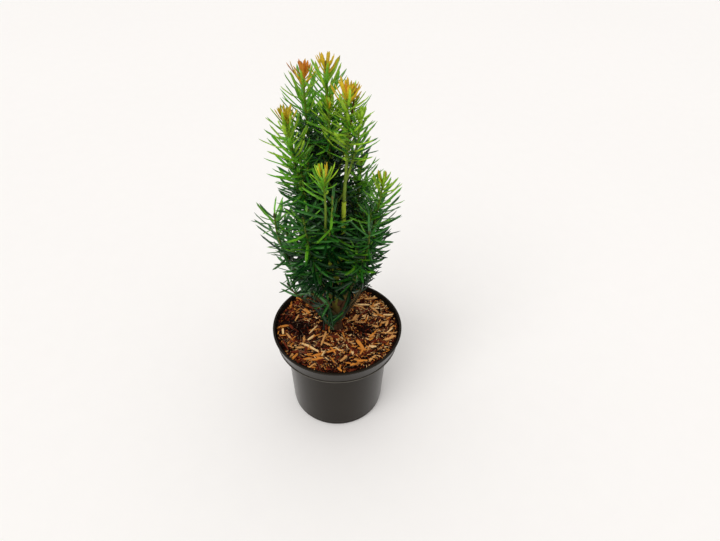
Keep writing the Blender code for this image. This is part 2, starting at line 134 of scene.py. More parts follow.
# Draws of the chips: their shares of those lengths, their widths by length and their
# thicknesses by width, with the ends of both, their tilts in radians, their arch and how
# far their corners move
CHIP_SHORT = (0.85, 1.0)
CHIP_WIDTHS = (0.11, 0.27)
WIDTH_ENDS = (0.0005, 0.0022)
CHIP_THICKNESSES = (0.35, 0.75)
THICKNESS_ENDS = (0.0005, 0.0012)
CHIP_TILTS = (0.28, 0.5)
CHIP_ARCH = 0.15
CHIP_UNEVEN = 0.10
CRUMB_LENGTHS = (0.0008, 0.0024)
CRUMB_WIDTHS = (0.4, 0.9)
CRUMB_UNEVEN = 0.20
FIBRE_LENGTHS = (0.005, 0.013)
FIBRE_BEND = 0.9
FIBRE_RADII = (0.00008, 0.00016)
LARGE_RISE = 0.0019
LARGE_THICKNESS = 0.0011
# Where peat shows between the chips, as (x, y, radius)
HOLLOWS = ((0.029, -0.003, 0.0075), (-0.046, 0.005, 0.01), (-0.034, -0.004, 0.009))
# Chips large enough to tell apart, as (colour, x, y, turn in degrees, length, width)
LARGE_CHIPS = (
    ("orange", 0.0226, -0.0251, -60, 0.0150, 0.0032),
    ("straw", -0.0276, -0.0263, -33, 0.0205, 0.0024),
    ("tan", -0.0138, -0.0169, -105, 0.0185, 0.0019),
    ("straw", -0.0257, -0.0136, -137, 0.0097, 0.0018),
    ("straw", -0.0244, -0.0037, -125, 0.0122, 0.0011),
    ("tan", 0.0518, -0.0175, -150, 0.0110, 0.0031),
    ("straw", 0.0525, -0.0069, -137, 0.0128, 0.0011),
    ("orange", 0.0352, -0.0112, -129, 0.0130, 0.0021),
    ("straw", 0.0274, 0.0314, -1, 0.0120, 0.0019),
    ("orange", -0.0310, 0.0218, -48, 0.0098, 0.0030),
    ("tan", 0.0366, 0.0408, 6, 0.0140, 0.0023),
    ("tan", 0.0388, 0.0241, -51, 0.0140, 0.0022),
    ("straw", 0.0525, 0.0151, -1, 0.0094, 0.0019),
    ("orange", 0.0232, -0.0458, 3, 0.0108, 0.0021),
    ("straw", -0.0547, -0.0070, -81, 0.0070, 0.0021),
    ("russet", -0.0505, -0.0258, -64, 0.0125, 0.0015),
    ("straw", 0.0349, -0.0271, -7, 0.0068, 0.0017),
    ("russet", -0.0023, -0.0140, -6, 0.0090, 0.0025),
    ("russet", -0.0347, -0.0424, -36, 0.0109, 0.0013),
    ("russet", 0.0116, -0.0266, -61, 0.0140, 0.0017),
    ("orange", -0.0048, -0.0310, -61, 0.0100, 0.0015),
    ("tan", -0.0364, -0.0276, -1, 0.0077, 0.0019),
    ("tan", -0.0418, 0.0127, -111, 0.0086, 0.0015),
    ("orange", 0.0016, -0.0562, -48, 0.0055, 0.0017),
    ("umber", 0.0475, 0.0012, 40, 0.0110, 0.0020),
)

# Trunk, boughs and shoots, by the rule of the solids
TRUNK_FOOT = np.array((0.0, 0.001, 0.0938))
TRUNK_TOP = np.array((-0.0050, 0.0010, 0.262))
TRUNK_FOOT_RADIUS = 0.0046
TRUNK_TOP_RADIUS = 0.0021
FLARE = 0.0030
FLARE_HEIGHT = 0.0065
LEADER_TOP = np.array((-0.0068, 0.0020, 0.3745))
BOUGH_RADIUS = 0.0023
BOUGH_TIP_RADIUS = 0.0018
SWAY = 0.0012
SWAY_WAVES = 1.5
BUD_DEPTH = 0.0085
TWIG_SHARE = 0.72
TWIG_SPREAD = 0.011
TWIG_BOW = 1.8
TWIG_TURN = 75
GOLDEN_ANGLE = math.radians(137.5)
# Rings and sides of the bark on the trunk and on a bough, how many ridges go round it,
# and its scars: the length of stem for each, their half length, their half width in
# radians, and their height beside that of the ridges
BARK_ROWS = (240, 28)
BOUGH_ROWS = (90, 16)
RIDGES = (3, 5, 7, 9, 12)
SCAR_STEP = 0.0026
SCAR_LENGTH = 0.0005
SCAR_WIDTH = 0.3
SCAR_HEIGHT = 1.3

# Each shoot leaves the trunk at a height and curves out along its heading, in
# degrees from +X, to its reach from the pot's axis. It is a bough up to the height
# bare and a spray of needles from there to its top. twigs is the number of its side
# twigs, and the first points to turn. tone is that of its tip, from 0, the oldest and
# deepest green, darkened further as painted shade, to 6, the youngest, and fresh is
# the length of bright needles below.
Shoot = namedtuple(
    "Shoot", "name leaves heading reach bare top bow twigs turn tone fresh"
)
BOUGH_SHOOTS = (
    Shoot("right", 0.1150, -3, 0.0378, 0.152, 0.282, 1.5, 1, -30, 4.4, 0.034),
    Shoot("left_low", 0.1190, 179, 0.0530, 0.150, 0.246, 2.0, 1, 150, 2.4, 0.035),
    Shoot("front_right", 0.1300, -42, 0.036, 0.152, 0.246, 1.7, 1, -70, 2.0, 0.020),
    Shoot("back_right", 0.1340, 50, 0.041, 0.154, 0.258, 1.6, 1, 20, 3.0, 0.030),
    Shoot("front_left", 0.1340, -138, 0.036, 0.156, 0.262, 1.7, 1, -160, 2.3, 0.025),
    Shoot("back", 0.1450, 88, 0.036, 0.160, 0.286, 1.8, 1, 130, 3.4, 0.040),
    Shoot("left", 0.1540, -168, 0.038, 0.200, 0.340, 1.3, 1, -140, 5.0, 0.075),
    Shoot("front", 0.1480, -110, 0.0300, 0.200, 0.304, 1.8, 1, -60, 4.5, 0.034),
    Shoot("back_left", 0.1630, 128, 0.034, 0.184, 0.300, 1.8, 1, 80, 3.4, 0.045),
    Shoot("right_back", 0.1600, 26, 0.0230, 0.190, 0.293, 2.0, 1, 60, 3.6, 0.040),
    Shoot("right_high", 0.1700, -62, 0.0165, 0.262, 0.362, 4.0, 2, -10, 5.1, 0.090),
    Shoot("left_high", 0.1740, 158, 0.0250, 0.215, 0.367, 1.8, 1, 100, 6.1, 0.056),
)
TRUNK_SHOOTS = (
    Shoot("low_left", 0.1040, -175, 0.046, None, 0.172, 1.2, 0, 0, 2.0, 0.022),
    Shoot("low_front_small", 0.1040, -114, 0.026, None, 0.140, 1.2, 0, 0, 1.2, 0.010),
    Shoot("low_front_right", 0.1040, -72, 0.018, None, 0.152, 1.3, 0, 0, 1.3, 0.010),
    Shoot("low_right_back", 0.1040, 14, 0.030, None, 0.172, 1.3, 0, 0, 1.3, 0.010),
    Shoot("low_back_right", 0.1040, 67, 0.040, None, 0.168, 1.3, 0, 0, 1.4, 0.010),
    Shoot("low_back_left", 0.1040, 126, 0.042, None, 0.170, 1.3, 0, 0, 1.4, 0.010),
    Shoot("low_right", 0.1105, -22, 0.026, None, 0.185, 1.4, 0, 0, 1.6, 0.010),
    Shoot("low_back", 0.1110, 97, 0.034, None, 0.176, 1.3, 0, 0, 1.5, 0.010),
    Shoot("low_front", 0.1160, -117, 0.020, None, 0.164, 1.4, 0, 0, 1.6, 0.010),
    Shoot("middle_left", 0.1950, -152, 0.018, None, 0.244, 1.5, 0, 0, 1.8, 0.020),
    Shoot("middle_right", 0.1840, -8, 0.019, None, 0.240, 1.5, 0, 0, 1.8, 0.020),
    Shoot("middle_back", 0.2000, 98, 0.019, None, 0.252, 1.5, 0, 0, 2.0, 0.020),
    Shoot("middle_front", 0.1960, -88, 0.016, None, 0.238, 1.5, 0, 0, 2.0, 0.020),
)
# Tones: the old ones over height, what the distance from the trunk adds to them, as
# painted shade inside the crown and painted light at its outside, and the fresh one
# over the length of bright needles
TONE_HEIGHTS = (0.10, 0.15, 0.20, 0.25, 0.30, 0.35)
OLD_TONES = (1.1, 1.2, 1.35, 1.45, 1.45, 1.7)
INNER_DISTANCES = (0.0, 0.018, 0.036, 0.055)
CROWN_SHADE_AND_LIGHT_TONES = (-1.35, -0.75, 0.15, 0.50)
FRESH_LENGTHS = (0.040, 0.090)
FRESH_TONES = (3.0, 3.8)
TIP_TONE_DEPTH = 0.011
# Random spread of the tones, below the first young one and above it
YOUNG_TONE = 3.4
OLD_SCATTER = 0.36
YOUNG_SCATTER = 0.24

# Needle sprays, with rolls, leans and their scatters in degrees, and losses, scatters of
# length and width, and the closing and crowding at a tip as shares
NEEDLE_STATIONS = np.array((0.0, 0.10, 0.48, 0.86, 1.0))
NEEDLE_WIDTHS = np.array((0.42, 0.92, 1.0, 0.86, 0.08))
NEEDLE_SECTION = np.array(
    ((-1.0, 0.0), (-0.28, 0.42), (0.0, 1.0), (0.28, 0.42), (1.0, 0.0), (0.0, -0.75))
)
NEEDLE_ROLL = 32
CURVE_SCATTER = (0.3, 1.5)
SWEEP = 0.07
LEAST_WIDTH = 0.76
WIDTH_SCATTER = (0.9, 1.1)
LENGTH_SCATTER = (0.86, 1.10)
TIP_LOSS = 0.72
TIP_LOSS_DEPTH = 0.0120
MATURE_TONES = (1.8, 3.8)
MATURE_SHARE = (0.42, 1.0)
LEAN_LOW = (84, 66)
LEAN_LOSS = (16, 30)
LEAN_POWER = 1.5
LEAN_SCATTER = 12
SPIRAL_SCATTER = 0.3
SPIRAL_POINTS = 600
FIRST_NEEDLE = 0.0005
ROOT_DEPTH = 0.55
TIP_CLOSING = 0.54
TIP_CLOSING_DEPTH = 0.0042
TIP_CROWD = 0.80
TIP_CROWD_DEPTH = 0.0105
BARE_RADIUS = 0.0015
TIP_RADIUS = 0.0007
STEM_STATIONS = 26

# Finer twigs that leave boughs and stems: their steps, places, and tones over height
LATERAL_STEP = 0.019
LATERAL_POINTS = 80
LATERAL_LOWEST = 0.150
LATERAL_LENGTHS = (0.014, 0.030)
LATERAL_SPREAD = 0.0085
LATERAL_BELOW_TIP = 0.048
LATERAL_HEIGHTS = (0.12, 0.20, 0.28, 0.33)
LATERAL_TONES = (1.3, 1.7, 2.1, 2.5)
LATERAL_FRESH = 0.018
LATERAL_SCALES = (0.74, 0.90)
LOW_LATERAL = 0.190
LOW_LATERAL_SCALE = 0.85
# The shoot at the trunk's top, and its twigs as (point of its path, heading in degrees,
# rise, spread, tone, fresh, needle scale)
LEADER_STATIONS = 30
LEADER_TONE = 5.4
LEADER_FRESH = 0.050
LEADER_TWIGS = ((10, -85, 0.0445, 0.010, 4.4, 0.05, 0.75), (6, 60, 0.045, 0.011, 3.0, 0.05, 0.9))
# Twigs inside the crown's top: where they start, their rises, and their spread, tone,
# fresh length and needle scale
INNER_PLACE = (-0.0035, 0.001)
INNER_HEIGHTS = np.arange(0.206, 0.290, 0.0085)
INNER_RISES = (0.016, 0.030)
INNER_GROWTH = (0.011, 1.4, 0.005, 0.85)
# Side twigs: the stations they leave from, their usual row and fresh length, how much
# younger than their stem they may be, and their bare foot
TWIG_STARTS = (5, 15)
USUAL_TWIG = (2.4, 0.85, 1.0, 0.0)
TWIG_FRESH = 0.04
TWIG_YOUNGER = 1.5
TWIG_BARE = 0.004
TWIG_STATIONS = 14
# Rings, sides and ridges of the twigs' bark, and the buds at their tips
RELIEF_STATIONS = 24
TWIG_SIDES = 8
TWIG_RELIEF = 0.07
BUD_LENGTH = 0.0036
BUD_RADIUS = 0.00115
BUD_SINK = 0.0006
# Side twigs that differ from the rest, as (tone, needle scale, rise, russet)
SIDE_TWIGS = {
    ("right_high", 0): (3.9, 0.72, 1.08, 0.0),
    ("right_high", 1): (6.0, 0.50, 1.30, 1.0),
    ("right_back", 0): (3.7, 0.70, 1.0, 0.0),
    ("left_high", 0): (3.3, 0.85, 1.0, 0.0),
}
# Needle lengths of some stems, as shares of a full needle, and of other low ones
STEM_SCALES = {
    "left_low": 1.12,
    "low_left": 0.92,
    "middle_left": 0.98,
    "low_right": 0.72,
    "low_right_back": 0.72,
    "low_back_right": 0.76,
    "middle_right": 0.80,
}
LOW_SCALE = 0.86
# Boughs whose bark shows high up, and the share of needles left on the others, and on
# low boughs to the right
BARE_SHOOTS = ("right_high", "front")
BOUGH_SHARE = 0.70
RIGHT_SHARE = 0.30
LOW_BOUGH = 0.195
BOUGH_AGE = 0.08
# The front's eye point, and the lowest that the foliage comes there, as X and Z where
# the line of sight meets the pot's XZ plane
EYE = (0.0, -0.3823, 0.5036)
SKIRT = np.array(
    (
        (-0.0747, 0.2281), (-0.0710, 0.2216), (-0.0691, 0.2062), (-0.0676, 0.1948),
        (-0.0600, 0.1924), (-0.0599, 0.1492), (-0.0513, 0.1438), (-0.0356, 0.1440),
        (-0.0262, 0.1370), (-0.0220, 0.1150), (-0.0190, 0.0925), (0.0030, 0.0925),
        (0.0060, 0.1160), (0.0105, 0.1180), (0.0125, 0.1340), (0.0175, 0.1460),
        (0.0325, 0.1506), (0.0349, 0.1635), (0.0400, 0.1672), (0.0450, 0.1855),
        (0.0520, 0.2076), (0.0579, 0.2253), (0.0638, 0.2492),
    )
)
# Stretches of stem that stand open to the front, as (shoot, from, to, half width), and
# how far behind the stem a needle still counts as in front of it
OPEN_STEMS = (
    ("right_high", 0.238, 0.290, 0.0042),
    ("front", 0.225, 0.255, 0.0022),
    ("front_right", 0.118, 0.150, 0.0025),
)
OPEN_BACK = 0.003
# Gaps that the needles keep, from the trunk, the boughs, the rim, the wall inside it,
# and the bed
TRUNK_GAP = 0.0006
BOUGH_GAP = 0.0024
RIM_GAP = 0.0012
INSIDE_RADIUS = 0.058
BED_GAP = 0.0036
# The steepest that a needle may hang, over the height of its root
HANG_HEIGHTS = (0.11, 0.22)
HANG_SLOPES = (-0.18, -0.45)
# How far past the solids' box needles are cut back, on its low and its high sides, the
# least share of its length that a needle keeps, and how far the longest may pass the box
CUT_LOW = 0.0035
CUT_HIGH = 0.0050
CUT_SHARE = 0.6
PAST_HIGH = 0.006
PAST_LEFT = 0.004
# Each tone, with how pale its needles are underneath and how glossy on top
NEEDLE_TONES = ("shade", "deep", "middle", "bright", "lime", "gold", "amber")
UNDER_COLOUR = (0.22, 0.34, 0.10, 1.0)
UNDER_SHARES = (0.0, 0.03, 0.06, 0.08, 0.05, 0.0, 0.0)
GLOSSES = (0.12, 0.38, 0.58, 0.44, 0.30, 0.22, 0.22)

# Stage: half the floor's side, the lamp's direction and place, and the camera's yaw,
# pitch and roll in degrees
FLOOR_HALF = 6.0
LAMP_LINE = np.array((0.50, 0.62, -0.92))
LAMP_PLACE = (-0.8, -1.0, 1.6)
CAMERA_ANGLES = (3.19, 40.49, 1.64)


# Meshes from whole arrays


def signed_volume(points, faces):
    """A sixth of the sum of each fan triangle's triple product."""
    total = 0.0
    for corner in range(1, faces.shape[1] - 1):
        a, b, c = (points[faces[:, k]] for k in (0, corner, corner + 1))
        total += np.einsum("ij,ij->", a, np.cross(b, c)) / 6
    return total


def solid_mesh(name, points, face_sets, shell_map=None, smooth=True):
    """A mesh of one points array and one array of faces for each number of corners.

    Faces are turned outwards as a whole. shell_map gives each point's (u, v).
    """
    points = np.ascontiguousarray(points, dtype=np.float64)
    if sum(signed_volume(points, faces) for faces in face_sets) < 0:
        face_sets = [faces[:, ::-1] for faces in face_sets]
    corners = np.concatenate([faces.ravel() for faces in face_sets]).astype(np.int32)
    sizes = np.concatenate([np.full(len(f), f.shape[1]) for f in face_sets])
    starts = np.concatenate([[0], np.cumsum(sizes)[:-1]]).astype(np.int32)
    mesh = bpy.data.meshes.new(name)
    mesh.vertices.add(len(points))
    mesh.vertices.foreach_set("co", points.astype(np.float32).ravel())
    mesh.loops.add(len(corners))
    mesh.loops.foreach_set("vertex_index", corners)
    mesh.polygons.add(len(sizes))
    mesh.polygons.foreach_set("loop_start", starts)
    mesh.update(calc_edges=True)
    mesh.polygons.foreach_set("use_smooth", np.full(len(sizes), smooth))
    if shell_map is not None:
        layer = mesh.uv_layers.new(name="Along")
        layer.data.foreach_set("uv", shell_map[corners].astype(np.float32).ravel())
    if mesh.validate():
        raise RuntimeError(f"{name} had faces that don't hold together")
    return mesh


def grid_faces(rows, columns):
    """Quads between neighbouring rows of a grid whose columns close on themselves."""
    row = np.arange(rows - 1)[:, None] * columns
    column = np.arange(columns)[None, :]
    beside = (column + 1) % columns
    quads = np.stack(
        (row + column, row + beside, row + columns + beside, row + columns + column),
        axis=-1,
    )
    return quads.reshape(-1, 4)


def end_caps(rows, columns):
    """One polygon over the first row of a grid and one over its last."""
    first = np.arange(columns)[::-1]
    last = (rows - 1) * columns + np.arange(columns)
    return np.stack((first, last))


def repeated(points, face_sets):
    """Joins the copies in points, of shape (copies, points, 3), into one array."""
    copies, size = points.shape[:2]
    step = np.arange(copies)[:, None, None] * size
    return points.reshape(-1, 3), [
        (faces[None] + step).reshape(-1, faces.shape[1]) for faces in face_sets
    ]


def merged(parts):
    """Joins (points, quads, caps) parts of several tubes into one array of each."""
    points, quads, caps = [], [], []
    base = 0
    for its_points, its_quads, its_caps in parts:
        points.append(its_points)
        quads.append(its_quads + base)
        caps.append(its_caps + base)
        base += len(its_points)
    return np.concatenate(points), [np.concatenate(quads), np.concatenate(caps)]


def softened(points, cuts, steps=4):
    """Rounds each corner of a profile.

    The corner c becomes c + (1-t)^2 b + t^2 a for t from 0 to 1, where b and a reach
    a cut's length back and ahead along the profile.
    """
    corner = points[1:-1]
    back = points[:-2] - corner
    ahead = points[2:] - corner
    back *= (cuts / np.linalg.norm(back, axis=1))[:, None]
    ahead *= (cuts / np.linalg.norm(ahead, axis=1))[:, None]
    t = np.linspace(0.0, 1.0, steps + 1)[None, :, None]
    curve = corner[:, None] + (1 - t) ** 2 * back[:, None] + t**2 * ahead[:, None]
    return np.concatenate((points[:1], curve.reshape(-1, 2), points[-1:]))


def turned(profile, steps):
    """A profile of (radius, height) carried round the +Z axis, closed at both poles.

    Point (i, j) is (r_i cos a_j, r_i sin a_j, z_i) with a_j = 2 pi j / steps.
    """
    angle = 2 * math.pi * np.arange(steps) / steps
    ring = profile[1:-1]
    x = ring[:, :1] * np.cos(angle)
    y = ring[:, :1] * np.sin(angle)
    z = np.broadcast_to(ring[:, 1:], x.shape)
    points = np.stack((x, y, z), axis=-1).reshape(-1, 3)
    poles = np.array([(0.0, 0.0, profile[0, 1]), (0.0, 0.0, profile[-1, 1])])
    rows = len(ring)
    step = np.arange(steps)
    beside = (step + 1) % steps
    last = (rows - 1) * steps
    first_pole = np.full(steps, rows * steps)
    fans = np.concatenate(
        (
            np.stack((first_pole, beside, step), axis=-1),
            np.stack((first_pole + 1, last + step, last + beside), axis=-1),
        )
    )
    return np.concatenate((points, poles)), [grid_faces(rows, steps), fans]


def bead(radius, height, half, steps, sides):
    """A round bead carried round the +Z axis.

    Point (i, j) is ((R + h cos b_j) cos a_i, (R + h cos b_j) sin a_i, z + h sin b_j).
    """
    a = 2 * math.pi * np.arange(steps)[:, None] / steps
    b = 2 * math.pi * np.arange(sides)[None] / sides
    reach = radius + half * np.cos(b)
    z = height + half * np.sin(b) + 0 * a
    points = np.stack((reach * np.cos(a), reach * np.sin(a), z), axis=-1)
    i, j = np.arange(steps)[:, None], np.arange(sides)[None]
    after, above = (i + 1) % steps * sides, (j + 1) % sides
    corners = np.broadcast_arrays(i * sides + j, after + j, after + above, i * sides + above)
    return points.reshape(-1, 3), [np.stack(corners, axis=-1).reshape(-1, 4)]


def frames_along(path):
    """Unit tangents of a path, and two unit vectors square to each of them."""
    tangent = np.gradient(path, axis=0)
    tangent /= np.linalg.norm(tangent, axis=1)[:, None]
    reference = np.eye(3)[np.argmin(np.abs(path[-1] - path[0]))]
    across = np.cross(tangent, reference)
    across /= np.linalg.norm(across, axis=1)[:, None]
    return tangent, across, np.cross(tangent, across)


def tube(path, radii, sides, relief=None):
    """A round section carried along a path, closed at both ends.

    Point (i, j) is p_i + r_i (1 + relief_ij) (cos a_j u_i + sin a_j v_i), with u and v
    square to the path.
    """
    _, across, other = frames_along(path)
    angle = 2 * math.pi * np.arange(sides) / sides
    reach = radii[:, None] * np.ones(sides)
    if relief is not None:
        reach = reach * (1 + relief)
    points = (
        path[:, None]
        + (reach * np.cos(angle))[..., None] * across[:, None]
        + (reach * np.sin(angle))[..., None] * other[:, None]
    )
    return points.reshape(-1, 3), grid_faces(len(path), sides), end_caps(len(path), sides)


def resampled(path, count):
    """The path again at even steps of its length."""
    steps = np.linalg.norm(np.diff(path, axis=0), axis=1)
    places = np.concatenate(([0.0], np.cumsum(steps)))
    wanted = np.linspace(0.0, places[-1], count)
    return np.stack([np.interp(wanted, places, path[:, k]) for k in range(3)], axis=-1)


def applied(obj):
    """The object's mesh with its modifiers in it, and no modifier left."""
    bpy.context.view_layer.update()
    graph = bpy.context.evaluated_depsgraph_get()
    mesh = bpy.data.meshes.new_from_object(obj.evaluated_get(graph))
    obj.modifiers.clear()
    obj.data = mesh


def add_piece(name, mesh, material, replaces):
    """A finished piece that rides on the one body and stands for its solids."""
    mesh.materials.append(material)
    obj = bpy.data.objects.new(name, mesh)
    bpy.context.scene.collection.objects.link(obj)
    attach(obj, "root")
    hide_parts(*replaces)
    return obj


def add_solid(name, shape, material, slot, replaces, **more):
    """A finished piece from its points and sets of faces."""
    return add_piece(name, solid_mesh(name, *shape, **more), material, replaces)


# Materials


def new_group(name, inputs, outputs):
    """An empty shader node group with float sockets or colours, by their defaults."""
    group = bpy.data.node_groups.new(name, "ShaderNodeTree")
    for label, default in inputs.items():
        kind = "NodeSocketFloat" if isinstance(default, float) else "NodeSocketColor"
        socket = group.interface.new_socket(label, in_out="INPUT", socket_type=kind)
        socket.default_value = default
    for label, kind in outputs.items():
        group.interface.new_socket(label, in_out="OUTPUT", socket_type=kind)
    return group


def add_node(tree, kind, values=(), **settings):
    """A node with its settings, and the values of its inputs by name or number."""
    node = tree.nodes.new(kind)
    for key, value in settings.items():
        setattr(node, key, value)
    for key, value in dict(values).items():
        node.inputs[key].default_value = value
    return node


def joined(tree, links):
    """Makes each link, given as (node, its output, node, its input)."""
    for start, output, end, entry in links:
        tree.links.new(start.outputs[output], end.inputs[entry])


def dimmed(colour, share):
    """The colour with each channel at a share of itself."""
    return tuple(channel * share for channel in colour)


def mottle_group():
    """Blends two colours by fine noise in a second, coarser noise, and gives its height."""
    name = "Yew mottle"
    if name in bpy.data.node_groups:
        return bpy.data.node_groups[name]
    inputs = {"Colour A": (0.5, 0.5, 0.5, 1.0), "Colour B": (0.2, 0.2, 0.2, 1.0)}
    inputs |= {"Coarse": 60.0, "Fine": 900.0, "Stretch": 1.0, "Contrast": 1.0}
    group = new_group(name, inputs, {"Colour": "NodeSocketColor", "Height": "NodeSocketFloat"})
    entry = add_node(group, "NodeGroupInput")
    out = add_node(group, "NodeGroupOutput")
    place = add_node(group, "ShaderNodeTexCoord")
    stretch = add_node(group, "ShaderNodeCombineXYZ", {0: 1.0, 1: 1.0})
    scaled = add_node(group, "ShaderNodeVectorMath", operation="MULTIPLY")
    coarse = add_node(group, "ShaderNodeTexNoise", {"Detail": 2.0})
    fine = add_node(group, "ShaderNodeTexNoise", {"Detail": 3.0, "Roughness": 0.6})
    both = add_node(group, "ShaderNodeMath", operation="ADD")
    middle = add_node(group, "ShaderNodeMath", {1: 1.0}, operation="SUBTRACT")
    contrast = add_node(group, "ShaderNodeMath", operation="MULTIPLY")
    share = add_node(group, "ShaderNodeMath", {1: 0.5}, operation="ADD", use_clamp=True)
    blend = add_node(group, "ShaderNodeMix", data_type="RGBA")
    links = (
        (entry, "Stretch", stretch, 2),
        (place, "Object", scaled, 0),
        (stretch, 0, scaled, 1),
        (scaled, 0, coarse, "Vector"),
        (scaled, 0, fine, "Vector"),
        (entry, "Coarse", coarse, "Scale"),
        (entry, "Fine", fine, "Scale"),
        (coarse, 0, both, 0),
        (fine, 0, both, 1),
        (both, 0, middle, 0),
        (middle, 0, contrast, 0),
        (entry, "Contrast", contrast, 1),
        (contrast, 0, share, 0),
        (share, 0, blend, "Factor"),
        (entry, "Colour A", blend, "A"),
        (entry, "Colour B", blend, "B"),
        (blend, "Result", out, "Colour"),
        (fine, 0, out, "Height"),
    )
    joined(group, links)
    return group


def mottled(name, colour_a, colour_b, roughness, coarse, fine, stretch=1.0, **more):
    """A material whose colour and bump come from the mottle group.

    more may hold contrast, bump in metres, specular and rough_spread.
    """
    material = bpy.data.materials.new(name)
    material.use_nodes = True
    tree = material.node_tree
    shader = tree.nodes["Principled BSDF"]
    shader.inputs["Roughness"].default_value = roughness
    shader.inputs["Specular IOR Level"].default_value = more.get("specular", 0.5)
    values = {"Colour A": (*colour_a, 1.0), "Colour B": (*colour_b, 1.0), "Coarse": coarse}
    values |= {"Fine": fine, "Stretch": stretch, "Contrast": more.get("contrast", 1.5)}
    mottle = add_node(tree, "ShaderNodeGroup", values, node_tree=mottle_group())
    depth = more.get("bump", 0.0002)
    bump = add_node(tree, "ShaderNodeBump", {"Strength": 1.0, "Distance": depth})
    spread = more.get("rough_spread", 0.1)
    ends = {"To Min": roughness - spread, "To Max": roughness + spread}
    rough = add_node(tree, "ShaderNodeMapRange", ends)
    links = (
        (mottle, "Colour", shader, "Base Color"),
        (mottle, "Height", bump, "Height"),
        (bump, "Normal", shader, "Normal"),
        (mottle, "Height", rough, "Value"),
        (rough, "Result", shader, "Roughness"),
    )
    joined(tree, links)
    return material


def by_height(material, colour_a, colour_b, low, high):
    """Fades the mottle's two colours to two more as Object Z goes from low to high."""
    tree = material.node_tree
    mottle = next(node for node in tree.nodes if node.type == "GROUP")
    place = add_node(tree, "ShaderNodeTexCoord")
    split = add_node(tree, "ShaderNodeSeparateXYZ")
    share = add_node(tree, "ShaderNodeMapRange", {"From Min": low, "From Max": high})
    joined(tree, ((place, "Object", split, 0), (split, "Z", share, "Value")))
    for socket, colour in (("Colour A", colour_a), ("Colour B", colour_b)):
        ends = {"A": mottle.inputs[socket].default_value, "B": (*colour, 1.0)}
        fade = add_node(tree, "ShaderNodeMix", ends, data_type="RGBA")
        joined(tree, ((share, "Result", fade, "Factor"), (fade, "Result", mottle, socket)))


def needle_finish(name, colour, under_share, gloss):
    """Waxy needles: the tone's colour, paler underneath, with a soft gloss.

    The needle's own map runs round the section in u, and u above 0.66 is underneath.
    """
    material = mottled(
        name, tuple(colour), dimmed(colour, 0.46), 0.34, 55.0, 420.0,
        bump=0.00005, contrast=2.1, specular=gloss,
    )
    tree = material.node_tree
    shader = tree.nodes["Principled BSDF"]
    mottle = next(node for node in tree.nodes if node.type == "GROUP")
    along = add_node(tree, "ShaderNodeUVMap", uv_map="Along")
    split = add_node(tree, "ShaderNodeSeparateXYZ")
    ends = {"From Min": 0.64, "From Max": 0.72, "To Max": under_share}
    under = add_node(tree, "ShaderNodeMapRange", ends)
    pale = add_node(tree, "ShaderNodeMix", {"B": UNDER_COLOUR}, data_type="RGBA")
    links = (
        (along, 0, split, 0),
        (split, "X", under, "Value"),
        (under, "Result", pale, "Factor"),
        (mottle, "Colour", pale, "A"),
        (pale, "Result", shader, "Base Color"),
    )
    joined(tree, links)
    return material


# Settings


def number_setting(name, description, default, **more):
    return FloatProperty(name=name, description=description, default=default, **more)


def length_setting(name, description, default):
    unit = {"subtype": "DISTANCE", "unit": "LENGTH", "precision": 4}
    return number_setting(name, description, default, min=0.0, **unit)


def count_setting(name, description, default):
    return IntProperty(name=name, description=description, default=default, min=1)


def colour_setting(name, description, default):
    ends = {"size": 3, "min": 0.0, "max": 1.0, "subtype": "COLOR"}
    return FloatVectorProperty(name=name, description=description, default=default, **ends)


class YewPotSettings(bpy.types.PropertyGroup):
    """The pot's shell."""

    height: length_setting("Height", "Height of the pot", POT_HIGH.z)
    rim_radius: length_setting("Rim radius", "Outer radius at the rim", POT_HIGH.x)
    rim_width: length_setting("Rim width", "Width of the rolled rim", 0.0022)
    wall: length_setting("Wall", "Thickness of the wall", 0.0015)
    colour: colour_setting("Colour", "Colour of the plastic", (0.0085, 0.0066, 0.0048))


class YewMulchSettings(bpy.types.PropertyGroup):
    """The bed of chips and crumbs on the growing medium."""

    chips: count_setting("Chips", "Number of chips", 6900)
    crumbs: count_setting("Crumbs", "Number of crumbs", 1800)
    fibres: count_setting("Fibres", "Number of fine fibres", 260)
    longest: length_setting("Longest", "Length of the longest chips", 0.016)
    peat: colour_setting("Peat", "Colour of the bed", (0.007, 0.0018, 0.0007))
    straw: colour_setting("Straw", "Colour of the palest chips", (1.0, 0.65, 0.29))
    tan: colour_setting("Tan", "Colour of the tan chips", (0.72, 0.35, 0.11))
    orange: colour_setting("Orange", "Colour of the orange chips", (0.74, 0.27, 0.045))
    russet: colour_setting("Russet", "Colour of the russet chips", (0.185, 0.030, 0.010))
    umber: colour_setting("Umber", "Colour of the darkest chips", (0.012, 0.0026, 0.0009))


class YewLimbSettings(bpy.types.PropertyGroup):
    """The bark of the trunk and boughs."""

    relief: number_setting("Relief", "Ridges, as a share of the radius", 0.10, min=0.0, max=0.5)
    old_bark: colour_setting("Old bark", "Colour near the ground", (0.10, 0.042, 0.018))
    young_bark: colour_setting("Young bark", "Colour high up", (0.46, 0.60, 0.040))


